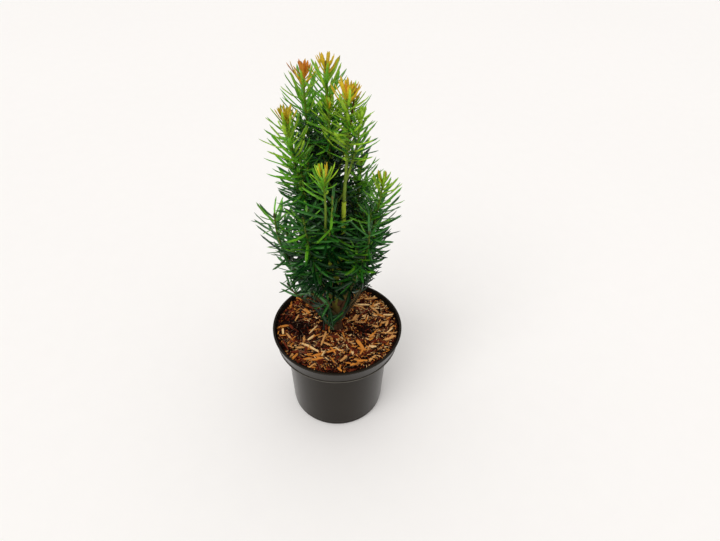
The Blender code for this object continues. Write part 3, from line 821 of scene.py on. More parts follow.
class YewFoliageSettings(bpy.types.PropertyGroup):
    """The needles and the twigs that hold them."""

    length: length_setting("Length", "Length of a full needle", 0.0268)
    width: length_setting("Width", "Width of a full needle", 0.0027)
    thickness: length_setting("Thickness", "Thickness at the midrib", 0.0010)
    pitch: length_setting("Pitch", "Stem length for each needle", 0.00112)
    curve: number_setting("Curve", "Bow, as a share of the length", 0.24, min=0.0, max=1.0)
    # Shade is near black: the deep green of the oldest needles, darkened further as painted
    # shade inside the crown.
    shade: colour_setting("Shade", "Oldest needles", (0.001, 0.012, 0.002))
    deep: colour_setting("Deep", "Deep green needles", (0.004, 0.050, 0.006))
    middle: colour_setting("Middle", "Green needles", (0.028, 0.185, 0.011))
    bright: colour_setting("Bright", "Bright green needles", (0.185, 0.53, 0.022))
    lime: colour_setting("Lime", "Yellow-green needles", (0.42, 0.70, 0.038))
    gold: colour_setting("Gold", "Golden needles at the tips", (0.80, 0.56, 0.024))
    amber: colour_setting("Amber", "Orange needles at the tips", (0.80, 0.29, 0.030))
    old_twig: colour_setting("Old twig", "Colour low down", (0.075, 0.055, 0.020))
    twig: colour_setting("Twig", "Colour of the green twigs", (0.21, 0.31, 0.030))


class YewStageSettings(bpy.types.PropertyGroup):
    """Floor, light and camera."""

    floor: colour_setting("Floor", "Colour of the floor", (0.965, 0.940, 0.920))
    sky: number_setting("Sky", "Strength of the light all round", 0.76, min=0.0)
    window: number_setting("Window", "Strength of the light from the upper left", 1.15, min=0.0)
    lens: number_setting("Lens", "Focal length", 27.05, min=1.0, subtype="DISTANCE_CAMERA")


# Pot


def pot_profile(pot):
    """The pot's wall from the middle of its inner floor, over the rim, to its underside."""
    step = pot.height - COLLAR_DEPTH
    lip = pot.height - LIP_DEPTH
    inner = pot.rim_radius - pot.rim_width
    wall = pot.wall
    points = np.array(
        (
            (0.0, wall),
            (BODY_FOOT_RADIUS - wall, wall),
            (BODY_TOP_RADIUS - wall, step + wall),
            (COLLAR_FOOT_RADIUS - wall, step + wall),
            (inner, lip),
            (inner, pot.height),
            (pot.rim_radius, pot.height),
            (pot.rim_radius, lip),
            (COLLAR_TOP_RADIUS, lip - LIP_STEP),
            *((COLLAR_FOOT_RADIUS + out, step + rise) for out, rise in COLLAR_TURNS),
            (BODY_TOP_RADIUS, step),
            *((BODY_FOOT_RADIUS + out, rise) for out, rise in FOOT_TURNS),
            (BODY_FOOT_RADIUS - FOOT_BEVEL, 0.0),
            (0.0, 0.0),
        )
    )
    return softened(points, CORNER_CUTS / 10000)


class YEW_OT_pot(bpy.types.Operator):
    """Turns the pot's shell, with its rolled rim, collar, foot and drain holes"""

    bl_idname = "yew.pot"
    bl_label = "Pot"

    def execute(self, context):
        pot = context.scene.yew_pot
        plastic = mottled(
            "pot plastic", pot.colour, dimmed(pot.colour, 1.9), 0.21, 22.0, 1400.0,
            bump=0.00001, contrast=1.2, rough_spread=0.05, specular=0.12,
        )
        shader = plastic.node_tree.nodes["Principled BSDF"]
        shader.inputs["Specular Tint"].default_value = (1.0, 0.88, 0.70, 1.0)
        shape = turned(pot_profile(pot), TURN_STEPS)
        shell = add_solid("pot_shell", shape, plastic, "pot", ["pot"])
        turn = 2 * math.pi * (np.arange(DRAIN_COUNT) + 0.5) / DRAIN_COUNT
        centres = DRAIN_RING * np.stack((np.cos(turn), np.sin(turn), 0 * turn), axis=-1)
        path = np.array(((0.0, 0.0, -DRAIN_DEPTH), (0.0, 0.0, DRAIN_DEPTH)))
        hole, sides, caps = tube(path, np.full(2, DRAIN_RADIUS), DRAIN_SIDES)
        shape = repeated(centres[:, None] + hole[None], [sides, caps])
        cutter = bpy.data.objects.new("drains", solid_mesh("drains", *shape))
        bpy.context.scene.collection.objects.link(cutter)
        cut = shell.modifiers.new("Drains", "BOOLEAN")
        cut.operation = "DIFFERENCE"
        cut.solver = "EXACT"
        cut.object = cutter
        applied(shell)
        bpy.data.objects.remove(cutter)
        faces = shell.data.polygons
        faces.foreach_set("use_smooth", np.full(len(faces), True))
        shell.data.set_sharp_from_angle(angle=math.radians(SHARP_DEGREES))
        # The bead's pale plastic is a painted highlight: the light line along the collar's foot.
        edge = mottled(
            "rubbed edge", (0.13, 0.12, 0.10), (0.06, 0.055, 0.045), 0.45, 60.0, 900.0,
            bump=0.00002, specular=0.20,
        )
        radius = COLLAR_FOOT_RADIUS + BEAD_OUT
        height = pot.height - COLLAR_DEPTH + BEAD_RISE
        shape = bead(radius, height, BEAD_HALF, TURN_STEPS, BEAD_SIDES)
        add_solid("pot_collar_bead", shape, edge, "pot", ["pot"])
        return {"FINISHED"}


# Growing medium and mulch


class YEW_OT_medium(bpy.types.Operator):
    """Gives the growing medium's solid a crumbly dark finish"""

    bl_idname = "yew.medium"
    bl_label = "Growing medium"

    def execute(self, context):
        peat = context.scene.yew_mulch.peat
        earth = mottled(
            "growing medium", peat, dimmed(peat, 3), 0.9, 120.0, 800.0,
            bump=0.0012, specular=0.1,
        )
        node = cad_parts["growing_medium"]
        node.data.materials.clear()
        node.data.materials.append(earth)
        return {"FINISHED"}


def waves(x, y, seed, count, finest):
    """Soft hills: a mean of sines along random directions, each finer than the last."""
    rng = np.random.default_rng(seed)
    total = np.zeros(np.broadcast(x, y).shape)
    for index in range(count):
        pitch = finest * (0.15 + 0.85 * index / count)
        turn, phase = rng.uniform(0, 2 * math.pi, 2)
        total += np.sin(pitch * (x * math.cos(turn) + y * math.sin(turn)) + phase)
    return total / count


def bed_height(x, y):
    """Height of the bed: level, with hills about 1 mm high, and banked up to the wall."""
    bank = BED_BANK * (np.hypot(x, y) / CHIPS_HIGH.x) ** 6
    return BED_LEVEL + bank + BED_HILLS * waves(x, y, SEED, *BED_WAVES)


def bed_surface(outer):
    """A lumpy round cushion, closed underneath: z = bed_height(x, y) over the disc."""
    radii = np.linspace(0.0, outer, BED_RINGS)[1:]
    profile = np.stack((radii, np.full(len(radii), 1.0)), axis=-1)
    edge = np.array(((outer - BED_TAPER, 0.0), (0.0, 0.0)))
    points, faces = turned(np.concatenate(([[0.0, 1.0]], profile, edge)), BED_STEPS)
    top = points[:, 2] > 0.5
    points[:, 2] = np.where(top, bed_height(points[:, 0], points[:, 1]), CHIPS_LOW.z)
    return points, faces


def flecks(centres, sizes, turns, tilts, rng, uneven):
    """Chips: a box section carried along a short path, with every corner moved.

    Each has four stations along its length and four corners at each, narrower at the
    ends, and is turned about +Z after a tilt about its width and its length.
    """
    count = len(centres)
    along = np.array((-0.5, -0.22, 0.22, 0.5))
    narrow = np.array((0.75, 1.0, 0.95, 0.6))
    corner = np.array(((-0.5, -0.5), (0.5, -0.5), (0.5, 0.5), (-0.5, 0.5)))
    shape = np.empty((4, 4, 3))
    shape[..., 0] = along[:, None]
    shape[..., 1:] = corner[None] * narrow[:, None, None]
    points = shape.reshape(1, 16, 3) + rng.uniform(-uneven, uneven, (count, 16, 3))
    points = points * sizes[:, None]
    arch = rng.uniform(-CHIP_ARCH, CHIP_ARCH, (count, 1))
    points[..., 2] += arch * (points[..., 0] ** 2 / sizes[:, :1])
    for axes, angle in (((0, 2), tilts[:, 0]), ((1, 2), tilts[:, 1]), ((0, 1), turns)):
        a, b = points[..., axes[0]].copy(), points[..., axes[1]].copy()
        cos, sin = np.cos(angle)[:, None], np.sin(angle)[:, None]
        points[..., axes[0]] = a * cos - b * sin
        points[..., axes[1]] = a * sin + b * cos
    points += centres[:, None]
    return repeated(points, [grid_faces(4, 4), end_caps(4, 4)])


def scattered(rng, count, outer):
    """Even random places on the disc round the trunk's foot."""
    radius = np.sqrt(rng.uniform(TRUNK_CLEAR**2, outer**2, count))
    turn = rng.uniform(0, 2 * math.pi, count)
    return radius * np.cos(turn), radius * np.sin(turn) + TRUNK_FOOT[1]


class YEW_OT_mulch(bpy.types.Operator):
    """Lays a lumpy bed with crumbs, fibres and chips in five colours"""

    bl_idname = "yew.mulch"
    bl_label = "Mulch"

    def execute(self, context):
        mulch = context.scene.yew_mulch
        outer = CHIPS_HIGH.x
        peat = tuple(mulch.peat)
        bed = mottled(
            "bed of peat", peat, dimmed(peat, 4.0), 0.85, 160.0, 1300.0,
            bump=0.0010, contrast=2.2, specular=0.08,
        )
        add_solid("mulch_bed", bed_surface(outer), bed, "bark_chips", ["bark_chips"])
        self.chips(mulch, outer)
        self.crumbs(mulch, outer)
        self.fibres(mulch, outer)
        return {"FINISHED"}

    def chips(self, mulch, outer):
        """Mostly short slivers, a fifth broader chips, and a few long ones on top."""
        rng = np.random.default_rng(SEED + 1)
        count = mulch.chips
        size = rng.uniform(0, 1, count)
        length = np.interp(size, CHIP_SIZES, CHIP_LENGTHS)
        length *= mulch.longest * rng.uniform(*CHIP_SHORT, count)
        width = np.clip(length * rng.uniform(*CHIP_WIDTHS, count), *WIDTH_ENDS)
        thick = np.clip(width * rng.uniform(*CHIP_THICKNESSES, count), *THICKNESS_ENDS)
        x, y = scattered(rng, count, outer - 0.001)
        turns = rng.uniform(0, math.pi, count)
        off = turns - np.arctan2(y, x)
        half = (length * np.abs(np.cos(off)) + width * np.abs(np.sin(off))) / 2
        pull = np.minimum(1.0, (outer - WALL_GAP - half) / np.hypot(x, y))
        x, y = x * pull, y * pull
        rise = rng.uniform(0, 1, count) * (0.0005 + 0.0013 * size**3)
        tilts = rng.normal(0, 1, (count, 2)) * CHIP_TILTS
        tilts[:, 0] *= np.clip(0.005 / length, 0.3, 1.0)
        patch = 0.5 + 1.2 * waves(x, y, SEED + 2, 6, 160.0) + 2.5 * (x - y * 0.6)
        pick = rng.uniform(0, 1, count) - PATCH_SHIFT * np.clip(patch, 0, 1) + PICK_START
        for hollow_x, hollow_y, radius in HOLLOWS:
            away = np.hypot(x - hollow_x, y - hollow_y) / radius
            pick += HOLLOW_SHIFT * np.exp(-(away**4))
        pick = np.where(size > LONG_SIZES[1], pick * 0.5, pick)
        kind = np.digitize(pick, KIND_EDGES)
        light = kind < LIGHT_KINDS
        rise += np.where(light, LIGHT_RISE, 0.0)
        length *= np.where(light & (size < LONG_SIZES[0]), LIGHT_SHORTER, 1.0)
        middles = np.stack((x, y, bed_height(x, y) + rise), axis=-1)
        sizes = np.stack((length, width, thick), axis=-1)
        for index, name in enumerate(CHIP_KINDS):
            own = kind == index
            colour = tuple(getattr(mulch, name))
            large = np.array([row[1:] for row in LARGE_CHIPS if row[0] == name])
            top = bed_height(large[:, 0], large[:, 1]) + LARGE_RISE
            blocks = np.column_stack((large[:, 3:5], np.full(len(large), LARGE_THICKNESS)))
            shape = flecks(
                np.concatenate((middles[own], np.column_stack((large[:, :2], top)))),
                np.concatenate((sizes[own], blocks)),
                np.concatenate((turns[own], np.radians(large[:, 2]))),
                np.concatenate((tilts[own], np.zeros((len(large), 2)))),
                rng,
                CHIP_UNEVEN,
            )
            varied = dimmed(colour, 0.72 if index < LIGHT_KINDS else 0.45)
            wood = mottled(
                f"{name} wood", colour, varied, 0.62, 260.0, 1700.0,
                bump=0.0002, specular=0.06,
            )
            self.lay(f"chips_{name}", shape, wood, False)

    def crumbs(self, mulch, outer):
        """Small blocks pressed into the bed, half of them dark and half russet."""
        rng = np.random.default_rng(SEED + 3)
        count = mulch.crumbs
        x, y = scattered(rng, count, outer - 0.0016)
        length = rng.uniform(*CRUMB_LENGTHS, count)
        width = length * rng.uniform(*CRUMB_WIDTHS, count)
        sizes = np.stack((length, width, length * 0.5), axis=-1)
        centres = np.stack((x, y, bed_height(x, y) + 0.0002), axis=-1)
        turns = rng.uniform(0, math.pi, count)
        tilts = rng.normal(0, 0.5, (count, 2))
        half = count // 2
        for name, colour, own in (
            ("crumbs_dark", tuple(mulch.umber), slice(0, half)),
            ("crumbs_russet", tuple(mulch.russet), slice(half, count)),
        ):
            parts = (centres[own], sizes[own], turns[own], tilts[own])
            shape = flecks(*parts, rng, CRUMB_UNEVEN)
            crumb = mottled(
                name.replace("_", " "), colour, dimmed(colour, 0.4), 0.8, 300.0, 1900.0,
                bump=0.0002, specular=0.05,
            )
            self.lay(name, shape, crumb, False)

    def fibres(self, mulch, outer):
        """Fine rootlets: a thin round section along a low arc on the bed."""
        rng = np.random.default_rng(SEED + 4)
        x, y = scattered(rng, mulch.fibres, outer - 0.007)
        parts = []
        t = np.linspace(-0.5, 0.5, 6)
        for index in range(mulch.fibres):
            length = rng.uniform(*FIBRE_LENGTHS)
            turn = rng.uniform(0, 2 * math.pi)
            bend = rng.uniform(-FIBRE_BEND, FIBRE_BEND)
            side = bend * length * (t**2 - 0.1)
            px = x[index] + length * t * math.cos(turn) - side * math.sin(turn)
            py = y[index] + length * t * math.sin(turn) + side * math.cos(turn)
            rise = 0.0009 + 0.0012 * rng.uniform() * (1 - 4 * t**2)
            path = np.stack((px, py, bed_height(px, py) + rise), axis=-1)
            radius = rng.uniform(*FIBRE_RADII)
            parts.append(tube(path, np.full(len(t), radius), 4))
        pale, dark = (0.36, 0.25, 0.14), (0.12, 0.06, 0.03)
        fibre = mottled("fine fibres", pale, dark, 0.7, 150.0, 900.0, bump=0.00005)
        self.lay("mulch_fibres", merged(parts), fibre, True)

    def lay(self, name, shape, material, smooth):
        """Adds a piece of the mulch."""
        add_solid(name, shape, material, "bark_chips", ["bark_chips"], smooth=smooth)


# Trunk, boughs and twigs


def trunk_point(height):
    """The trunk's middle line, straight from its foot to its top."""
    share = (height - TRUNK_FOOT[2]) / (TRUNK_TOP[2] - TRUNK_FOOT[2])
    return TRUNK_FOOT + (TRUNK_TOP - TRUNK_FOOT) * np.asarray(share)[..., None]


def trunk_radius(height):
    """A straight taper plus a flare that dies away above the foot."""
    rise = height - TRUNK_FOOT[2]
    share = rise / (TRUNK_TOP[2] - TRUNK_FOOT[2])
    taper = TRUNK_FOOT_RADIUS + (TRUNK_TOP_RADIUS - TRUNK_FOOT_RADIUS) * share
    return taper + FLARE * np.exp(-rise / FLARE_HEIGHT)


def shoot_path(shoot, first, last, count):
    """Height grows evenly with share s, and distance from the trunk as 1 - (1-s)^bow.

    A small sideways sway of one and a half waves dies away at the trunk.
    """
    share = np.linspace(first, last, count)[:, None]
    heading = math.radians(shoot.heading)
    out = np.array((math.cos(heading), math.sin(heading), 0.0))
    start = trunk_point(shoot.leaves)
    outward = 1 - (1 - share) ** shoot.bow
    sway = SWAY * np.sin(2 * math.pi * SWAY_WAVES * share) * np.minimum(1, 4 * share)
    path = start + (out * shoot.reach - start) * outward
    path = path + sway * np.array((-out[1], out[0], 0.0))
    path[:, 2] = shoot.leaves + (shoot.top - BUD_DEPTH - shoot.leaves) * share[:, 0]
    return path


def shoot_share(shoot, height):
    """How far along its path a shoot is at a height, from 0 to 1."""
    return (height - shoot.leaves) / (shoot.top - BUD_DEPTH - shoot.leaves)


def bark_relief(length, stations, sides, depth, seed):
    """Ridges along the limb, as a sum of folded sines, and raised scars of old needles.

    A fold is 1 - 2|sin(n a / 2 + m s + phase)| over the angle a and the distance s.
    A scar is a bump exp(-(ds / 0.5 mm)^2 - (da / 0.3)^2).
    """
    rng = np.random.default_rng(seed)
    s = np.linspace(0.0, length, stations)[:, None]
    a = 2 * math.pi * np.arange(sides)[None, :] / sides
    total = np.zeros((stations, sides))
    for waves_round in RIDGES:
        climb = rng.uniform(-140, 140)
        phase = rng.uniform(0, math.pi)
        bend = rng.uniform(0.3, 0.9) * np.sin(rng.uniform(60, 260) * s + phase)
        fold = 1 - 2 * np.abs(np.sin(waves_round * a / 2 + climb * s + bend + phase))
        total += fold / len(RIDGES)
    count = int(length / SCAR_STEP)
    scar_s = (np.arange(count) + 0.5) * SCAR_STEP
    scar_a = (np.arange(count) * GOLDEN_ANGLE) % (2 * math.pi)
    away = (a[..., None] - scar_a + math.pi) % (2 * math.pi) - math.pi
    past = (s[..., None] - scar_s) / SCAR_LENGTH
    scar = np.exp(-(past**2) - (away / SCAR_WIDTH) ** 2)
    return depth * (total + SCAR_HEIGHT * scar.sum(axis=-1))


# A stem with needles: first is the bare length at its foot, top is 1 where it ends in a
# tip, and russet is 1 for a red-brown twig
Stem = namedtuple(
    "Stem", "path radii tone fresh scale first top russet", defaults=(1.0, 0.0, 1.0, 0.0)
)


def limb_stems():
    """The masses' stems and their side twigs, by the rule of the solids, and laterals.

    Laterals are finer twigs that leave the boughs and stems in a spiral.
    """
    rng = np.random.default_rng(SEED)
    stems = []
    for shoot in BOUGH_SHOOTS + TRUNK_SHOOTS:
        first = 0.0 if shoot.bare is None else shoot_share(shoot, shoot.bare)
        path = shoot_path(shoot, first, 1.0, STEM_STATIONS)
        radii = np.linspace(BARE_RADIUS, TIP_RADIUS, STEM_STATIONS)
        scale = STEM_SCALES.get(shoot.name, LOW_SCALE if shoot.bare is None else 1.0)
        stems.append(Stem(path, radii, shoot.tone, shoot.fresh, scale))
        for twig in range(shoot.twigs):
            start = path[TWIG_STARTS[twig]]
            heading = math.radians(shoot.turn + TWIG_TURN * twig)
            rise = np.linalg.norm(path[-1] - start) * TWIG_SHARE
            tone, scale, taller, russet = SIDE_TWIGS.get((shoot.name, twig), USUAL_TWIG)
            growth = (TWIG_SPREAD, min(tone, shoot.tone + TWIG_YOUNGER), TWIG_FRESH, scale)
            stems.append(side_twig(start, heading, rise * taller, *growth, russet))
        if shoot.name not in BARE_SHOOTS:
            stems += laterals(shoot, rng)
    leader = np.linspace(TRUNK_TOP, LEADER_TOP - (0, 0, BUD_DEPTH), LEADER_STATIONS)
    radii = np.linspace(BARE_RADIUS, TIP_RADIUS, LEADER_STATIONS)
    stems.append(Stem(leader, radii, LEADER_TONE, LEADER_FRESH))
    for point, degrees, *growth in LEADER_TWIGS:
        stems.append(side_twig(leader[point], math.radians(degrees), *growth))
    for index, height in enumerate(INNER_HEIGHTS):
        start = np.array((*INNER_PLACE, height))
        rise, turn = rng.uniform(*INNER_RISES), GOLDEN_ANGLE * index
        stems.append(side_twig(start, turn, rise, *INNER_GROWTH))
    return stems


def side_twig(start, heading, rise, spread, tone, fresh, scale, russet=0.0):
    """Leaves its stem sideways as 1 - (1-s)^1.8 while it rises evenly."""
    share = np.linspace(0.0, 1.0, TWIG_STATIONS)[:, None]
    out = np.array((math.cos(heading), math.sin(heading), 0.0))
    path = start + out * spread * (1 - (1 - share) ** TWIG_BOW)
    path[:, 2] += rise * share[:, 0]
    radii = np.linspace(0.75 * BARE_RADIUS, 0.8 * TIP_RADIUS, TWIG_STATIONS)
    return Stem(path, radii, tone, fresh, scale, TWIG_BARE, 1.0, russet)


def laterals(shoot, rng):
    """Short finer twigs all along a bough and its stem, but for the open tip."""
    path = shoot_path(shoot, 0.0, 1.0, LATERAL_POINTS)
    length = np.linalg.norm(np.diff(path, axis=0), axis=1).sum()
    found = []
    place = LATERAL_STEP * rng.uniform(0.5, 1.0)
    turn = rng.uniform(0, 2 * math.pi)
    while place < length - LATERAL_BELOW_TIP:
        start = path[int(place / length * (LATERAL_POINTS - 1))]
        if start[2] > LATERAL_LOWEST:
            rise = rng.uniform(*LATERAL_LENGTHS)
            spread = LATERAL_SPREAD * rng.uniform(0.7, 1.2)
            tone = np.interp(start[2] + rise, LATERAL_HEIGHTS, LATERAL_TONES)
            usual = 1 if start[2] > LOW_LATERAL else LOW_LATERAL_SCALE
            scale = rng.uniform(*LATERAL_SCALES) * usual
            found.append(side_twig(start, turn, rise, spread, tone, LATERAL_FRESH, scale))
        turn += GOLDEN_ANGLE
        place += LATERAL_STEP * rng.uniform(0.8, 1.3)
    return found


class YEW_OT_limbs(bpy.types.Operator):
    """Covers the trunk and boughs with a bark that has relief"""

    bl_idname = "yew.limbs"
    bl_label = "Trunk and boughs"

    def execute(self, context):
        limbs = context.scene.yew_limbs
        old, young = tuple(limbs.old_bark), tuple(limbs.young_bark)
        bark = mottled(
            "bark", old, dimmed(old, 0.4), 0.72, 90.0, 700.0,
            stretch=0.35, bump=0.0003, specular=0.18,
        )
        skin = bark.copy()
        skin.name = "young bark"
        shaded = dimmed(young, 0.45)
        by_height(bark, young, shaded, 0.12, 0.20)
        by_height(skin, young, shaded, 0.14, 0.22)
        rows, sides = BARK_ROWS
        heights = TRUNK_FOOT[2] + (TRUNK_TOP[2] - TRUNK_FOOT[2]) * np.linspace(0, 1, rows)
        path = trunk_point(heights)
        relief = bark_relief(path[-1, 2] - path[0, 2], rows, sides, limbs.relief, SEED)
        shape = merged([tube(path, trunk_radius(heights), sides, relief)])
        add_solid("trunk_bark", shape, bark, "bark", ["trunk"])
        rows, sides = BOUGH_ROWS
        parts = []
        for index, shoot in enumerate(BOUGH_SHOOTS):
            last = shoot_share(shoot, shoot.bare)
            path = resampled(shoot_path(shoot, 0.0, last, 120), rows)
            length = np.linalg.norm(path[-1] - path[0])
            relief = bark_relief(length, rows, sides, limbs.relief, SEED + index + 1)
            radii = np.linspace(BOUGH_RADIUS, BOUGH_TIP_RADIUS, rows)
            parts.append(tube(path, radii, sides, relief))
        names = ["bough_" + shoot.name for shoot in BOUGH_SHOOTS]
        add_solid("bough_bark", merged(parts), skin, "bark", names)
        return {"FINISHED"}


# Needles


def along_stem(stem, leaf, rng):
    """One row for each needle in a spiral round a stem.

    The lean from the stem falls as 66 - 30 s^1.5 degrees over the share s of a young
    stem's length, and as 84 - 16 s^1.5 on a mature one.
    With d the distance below the tip, it is then less by 0.54 exp(-d / 4.2 mm) of
    itself, the length by 0.72 exp(-d / 12 mm), and the pitch by 0.8 exp(-d / 10.5 mm).
    A mature tip has less of all three than a young one, so its needles spread wide.
    """
    steps = np.linalg.norm(np.diff(stem.path, axis=0), axis=1)
    places = np.concatenate(([0.0], np.cumsum(steps)))
    total = places[-1]
    d = np.linspace(FIRST_NEEDLE, total - stem.first, SPIRAL_POINTS)
    young = stem.top * np.interp(stem.tone, MATURE_TONES, MATURE_SHARE)
    pitch = leaf.pitch * (1 - young * TIP_CROWD * np.exp(-d / TIP_CROWD_DEPTH))
    number = np.cumsum(np.gradient(d) / pitch)
    wanted = np.arange(1, int(number[-1]))
    scatter = rng.uniform(-SPIRAL_SCATTER, SPIRAL_SCATTER, len(wanted))
    below = np.interp(wanted + scatter, number, d)
    place = total - below
    share = place / total
    turn = rng.uniform(0, 2 * math.pi) + GOLDEN_ANGLE * wanted
    turn += rng.uniform(-SPIRAL_SCATTER, SPIRAL_SCATTER, len(wanted))
    start, loss = (np.interp(stem.tone, MATURE_TONES, ends) for ends in (LEAN_LOW, LEAN_LOSS))
    lean = start - loss * share**LEAN_POWER
    lean *= 1 - young * TIP_CLOSING * np.exp(-below / TIP_CLOSING_DEPTH)
    lean += rng.uniform(-LEAN_SCATTER, LEAN_SCATTER, len(wanted))
    length = 1 - young * TIP_LOSS * np.exp(-below / TIP_LOSS_DEPTH)
    length *= leaf.length * stem.scale * rng.uniform(*LENGTH_SCATTER, len(wanted))
    tangent, across, other = frames_along(stem.path)
    centre, axis, across, other = (
        np.stack([np.interp(place, places, v[:, k]) for k in range(3)], axis=-1)
        for v in (stem.path, tangent, across, other)
    )
    outward = np.cos(turn)[:, None] * across + np.sin(turn)[:, None] * other
    lean = np.radians(lean)[:, None]
    along = np.sin(lean) * outward + np.cos(lean) * axis
    along /= np.linalg.norm(along, axis=1)[:, None]
    side = np.cross(along, axis)
    side /= np.linalg.norm(side, axis=1)[:, None]
    radius = np.interp(place, places, stem.radii)[:, None]
    return {
        "root": centre + ROOT_DEPTH * radius * outward,
        "along": along,
        "side": side,
        "length": length,
        "below": below,
        "tone": np.full(len(wanted), stem.tone),
        "fresh": np.full(len(wanted), stem.fresh),
    }


def on_bough(shoot, leaf, rng):
    """The older needles on a bough, spread wide: fewer low on those to the right."""
    path = shoot_path(shoot, 0.12, shoot_share(shoot, shoot.bare), 40)
    radii = np.linspace(BOUGH_RADIUS, BOUGH_TIP_RADIUS, 40)
    stem = Stem(path, radii, tone=1.0, fresh=0.02, scale=0.96, first=0.002, top=0.0)
    rows = along_stem(stem, leaf, rng)
    share = 0.0 if shoot.name in BARE_SHOOTS else BOUGH_SHARE
    low = rows["root"][:, 2] < LOW_BOUGH
    low_share = RIGHT_SHARE if shoot.name.startswith("right") else BOUGH_SHARE
    keep = rng.uniform(0, 1, len(low)) < np.where(low, low_share, share)
    rows["below"] = rows["below"] + BOUGH_AGE
    return {key: value[keep] for key, value in rows.items()}


def seen_at(points):
    """X and Z where the line of sight through each point meets the pot's XZ plane."""
    share = -EYE[1] / (points[..., 1] - EYE[1])
    return share * points[..., 0], EYE[2] + share * (points[..., 2] - EYE[2])


def before_stem(points, name, low, high, half):
    """True for a point in front of a stretch of stem that stands open to the front."""
    shoot = next(row for row in BOUGH_SHOOTS if row.name == name)
    line = shoot_path(shoot, 0.0, 1.0, 200)
    line_x, line_z = seen_at(line)
    x, z = seen_at(points)
    ahead = np.interp(z, line_z, line[:, 1]) - points[..., 1]
    aside = np.abs(x - np.interp(z, line_z, line_x))
    return (ahead > -OPEN_BACK) & (aside < half) & (z > low) & (z < high)


def shortened(rows):
    """Needles that would reach too far from the axis, cut back by up to two fifths."""
    length = rows["length"]
    for axis in (0, 1):
        root, along = rows["root"][:, axis], rows["along"][:, axis]
        low, high = CAD_BOX[0][axis] - CUT_LOW, CAD_BOX[1][axis] + CUT_HIGH
        edge = np.where(along < 0, low, high)
        room = (edge - root) / np.where(np.abs(along) < 0.05, np.inf, along)
        room = np.where(room > CUT_SHARE * length, room, np.inf)
        length = np.minimum(length, room)
    rows["length"] = length


def clear_of_limbs(rows):
    """False for a needle that would meet the trunk, a bough, the pot, or the mulch."""
    steps = np.array((0.08, 0.35, 0.7, 1.0))
    reach = rows["length"][:, None, None] * steps[None, :, None]
    points = rows["root"][:, None] + rows["along"][:, None] * reach
    z = np.clip(points[..., 2], TRUNK_FOOT[2], TRUNK_TOP[2])
    gap = np.linalg.norm((points - trunk_point(z))[..., :2], axis=-1)
    free = ((gap > trunk_radius(z) + TRUNK_GAP) | (points[..., 2] > TRUNK_TOP[2])).all(1)
    for shoot in BOUGH_SHOOTS:
        line = shoot_path(shoot, 0.0, shoot_share(shoot, shoot.bare), 40)
        near = np.linalg.norm(points[:, :, None] - line[None, None], axis=-1).min(-1)
        free &= (near > BOUGH_GAP).all(1)
    radius = np.linalg.norm(points[..., :2], axis=-1)
    free &= ((points[..., 2] > POT_HIGH.z + RIM_GAP) | (radius < INSIDE_RADIUS)).all(1)
    free &= (points[..., 2] > BED_LEVEL + BED_GAP).all(1)
    x, height = seen_at(points)
    free &= (height > np.interp(x, SKIRT[:, 0], SKIRT[:, 1])).all(1)
    free &= rows["along"][:, 2] > np.interp(rows["root"][:, 2], HANG_HEIGHTS, HANG_SLOPES)
    for name, low, high, half in OPEN_STEMS:
        free &= ~before_stem(points, name, low, high, half).any(1)
    high = np.array(CAD_BOX[1]) + PAST_HIGH
    low = np.array((CAD_BOX[0].x - PAST_LEFT, CAD_BOX[0].y, CAD_BOX[0].z))
    return free & ((points < high) & (points > low)).all(axis=(1, 2))


def tone_of(rows, rng):
    """Which tone each needle takes: greener inside and low down, younger at the tips.

    The old tone grows with height. At a distance d below the tip it gives way to the
    fresh tone as exp(-(d / f)^4), with f the fresh length, which also raises that tone,
    and to the tip's own as exp(-(d / 11 mm)^2). Old needles near the trunk are darker,
    as painted shade inside the crown, and those far out lighter, as painted light.
    """
    middle = rows["root"] + rows["along"] * rows["length"][:, None] * 0.5
    z, below = middle[:, 2], rows["below"]
    value = np.interp(z, TONE_HEIGHTS, OLD_TONES)
    inner = np.linalg.norm(middle[:, :2] - TRUNK_FOOT[:2], axis=1)
    # Painted shade: needles near the trunk darker; painted light: those far out lighter.
    value += np.interp(inner, INNER_DISTANCES, CROWN_SHADE_AND_LIGHT_TONES)
    fresh = np.interp(rows["fresh"], FRESH_LENGTHS, FRESH_TONES)
    fresh = np.minimum(fresh, rows["tone"])
    value += (fresh - value) * np.exp(-((below / rows["fresh"]) ** 4))
    value += (rows["tone"] - value) * np.exp(-((below / TIP_TONE_DEPTH) ** 2))
    scatter = np.where(value < YOUNG_TONE, OLD_SCATTER, YOUNG_SCATTER)
    value += rng.normal(0, 1, len(z)) * scatter
    return np.clip(np.round(value), 0, len(NEEDLE_TONES) - 1).astype(int)


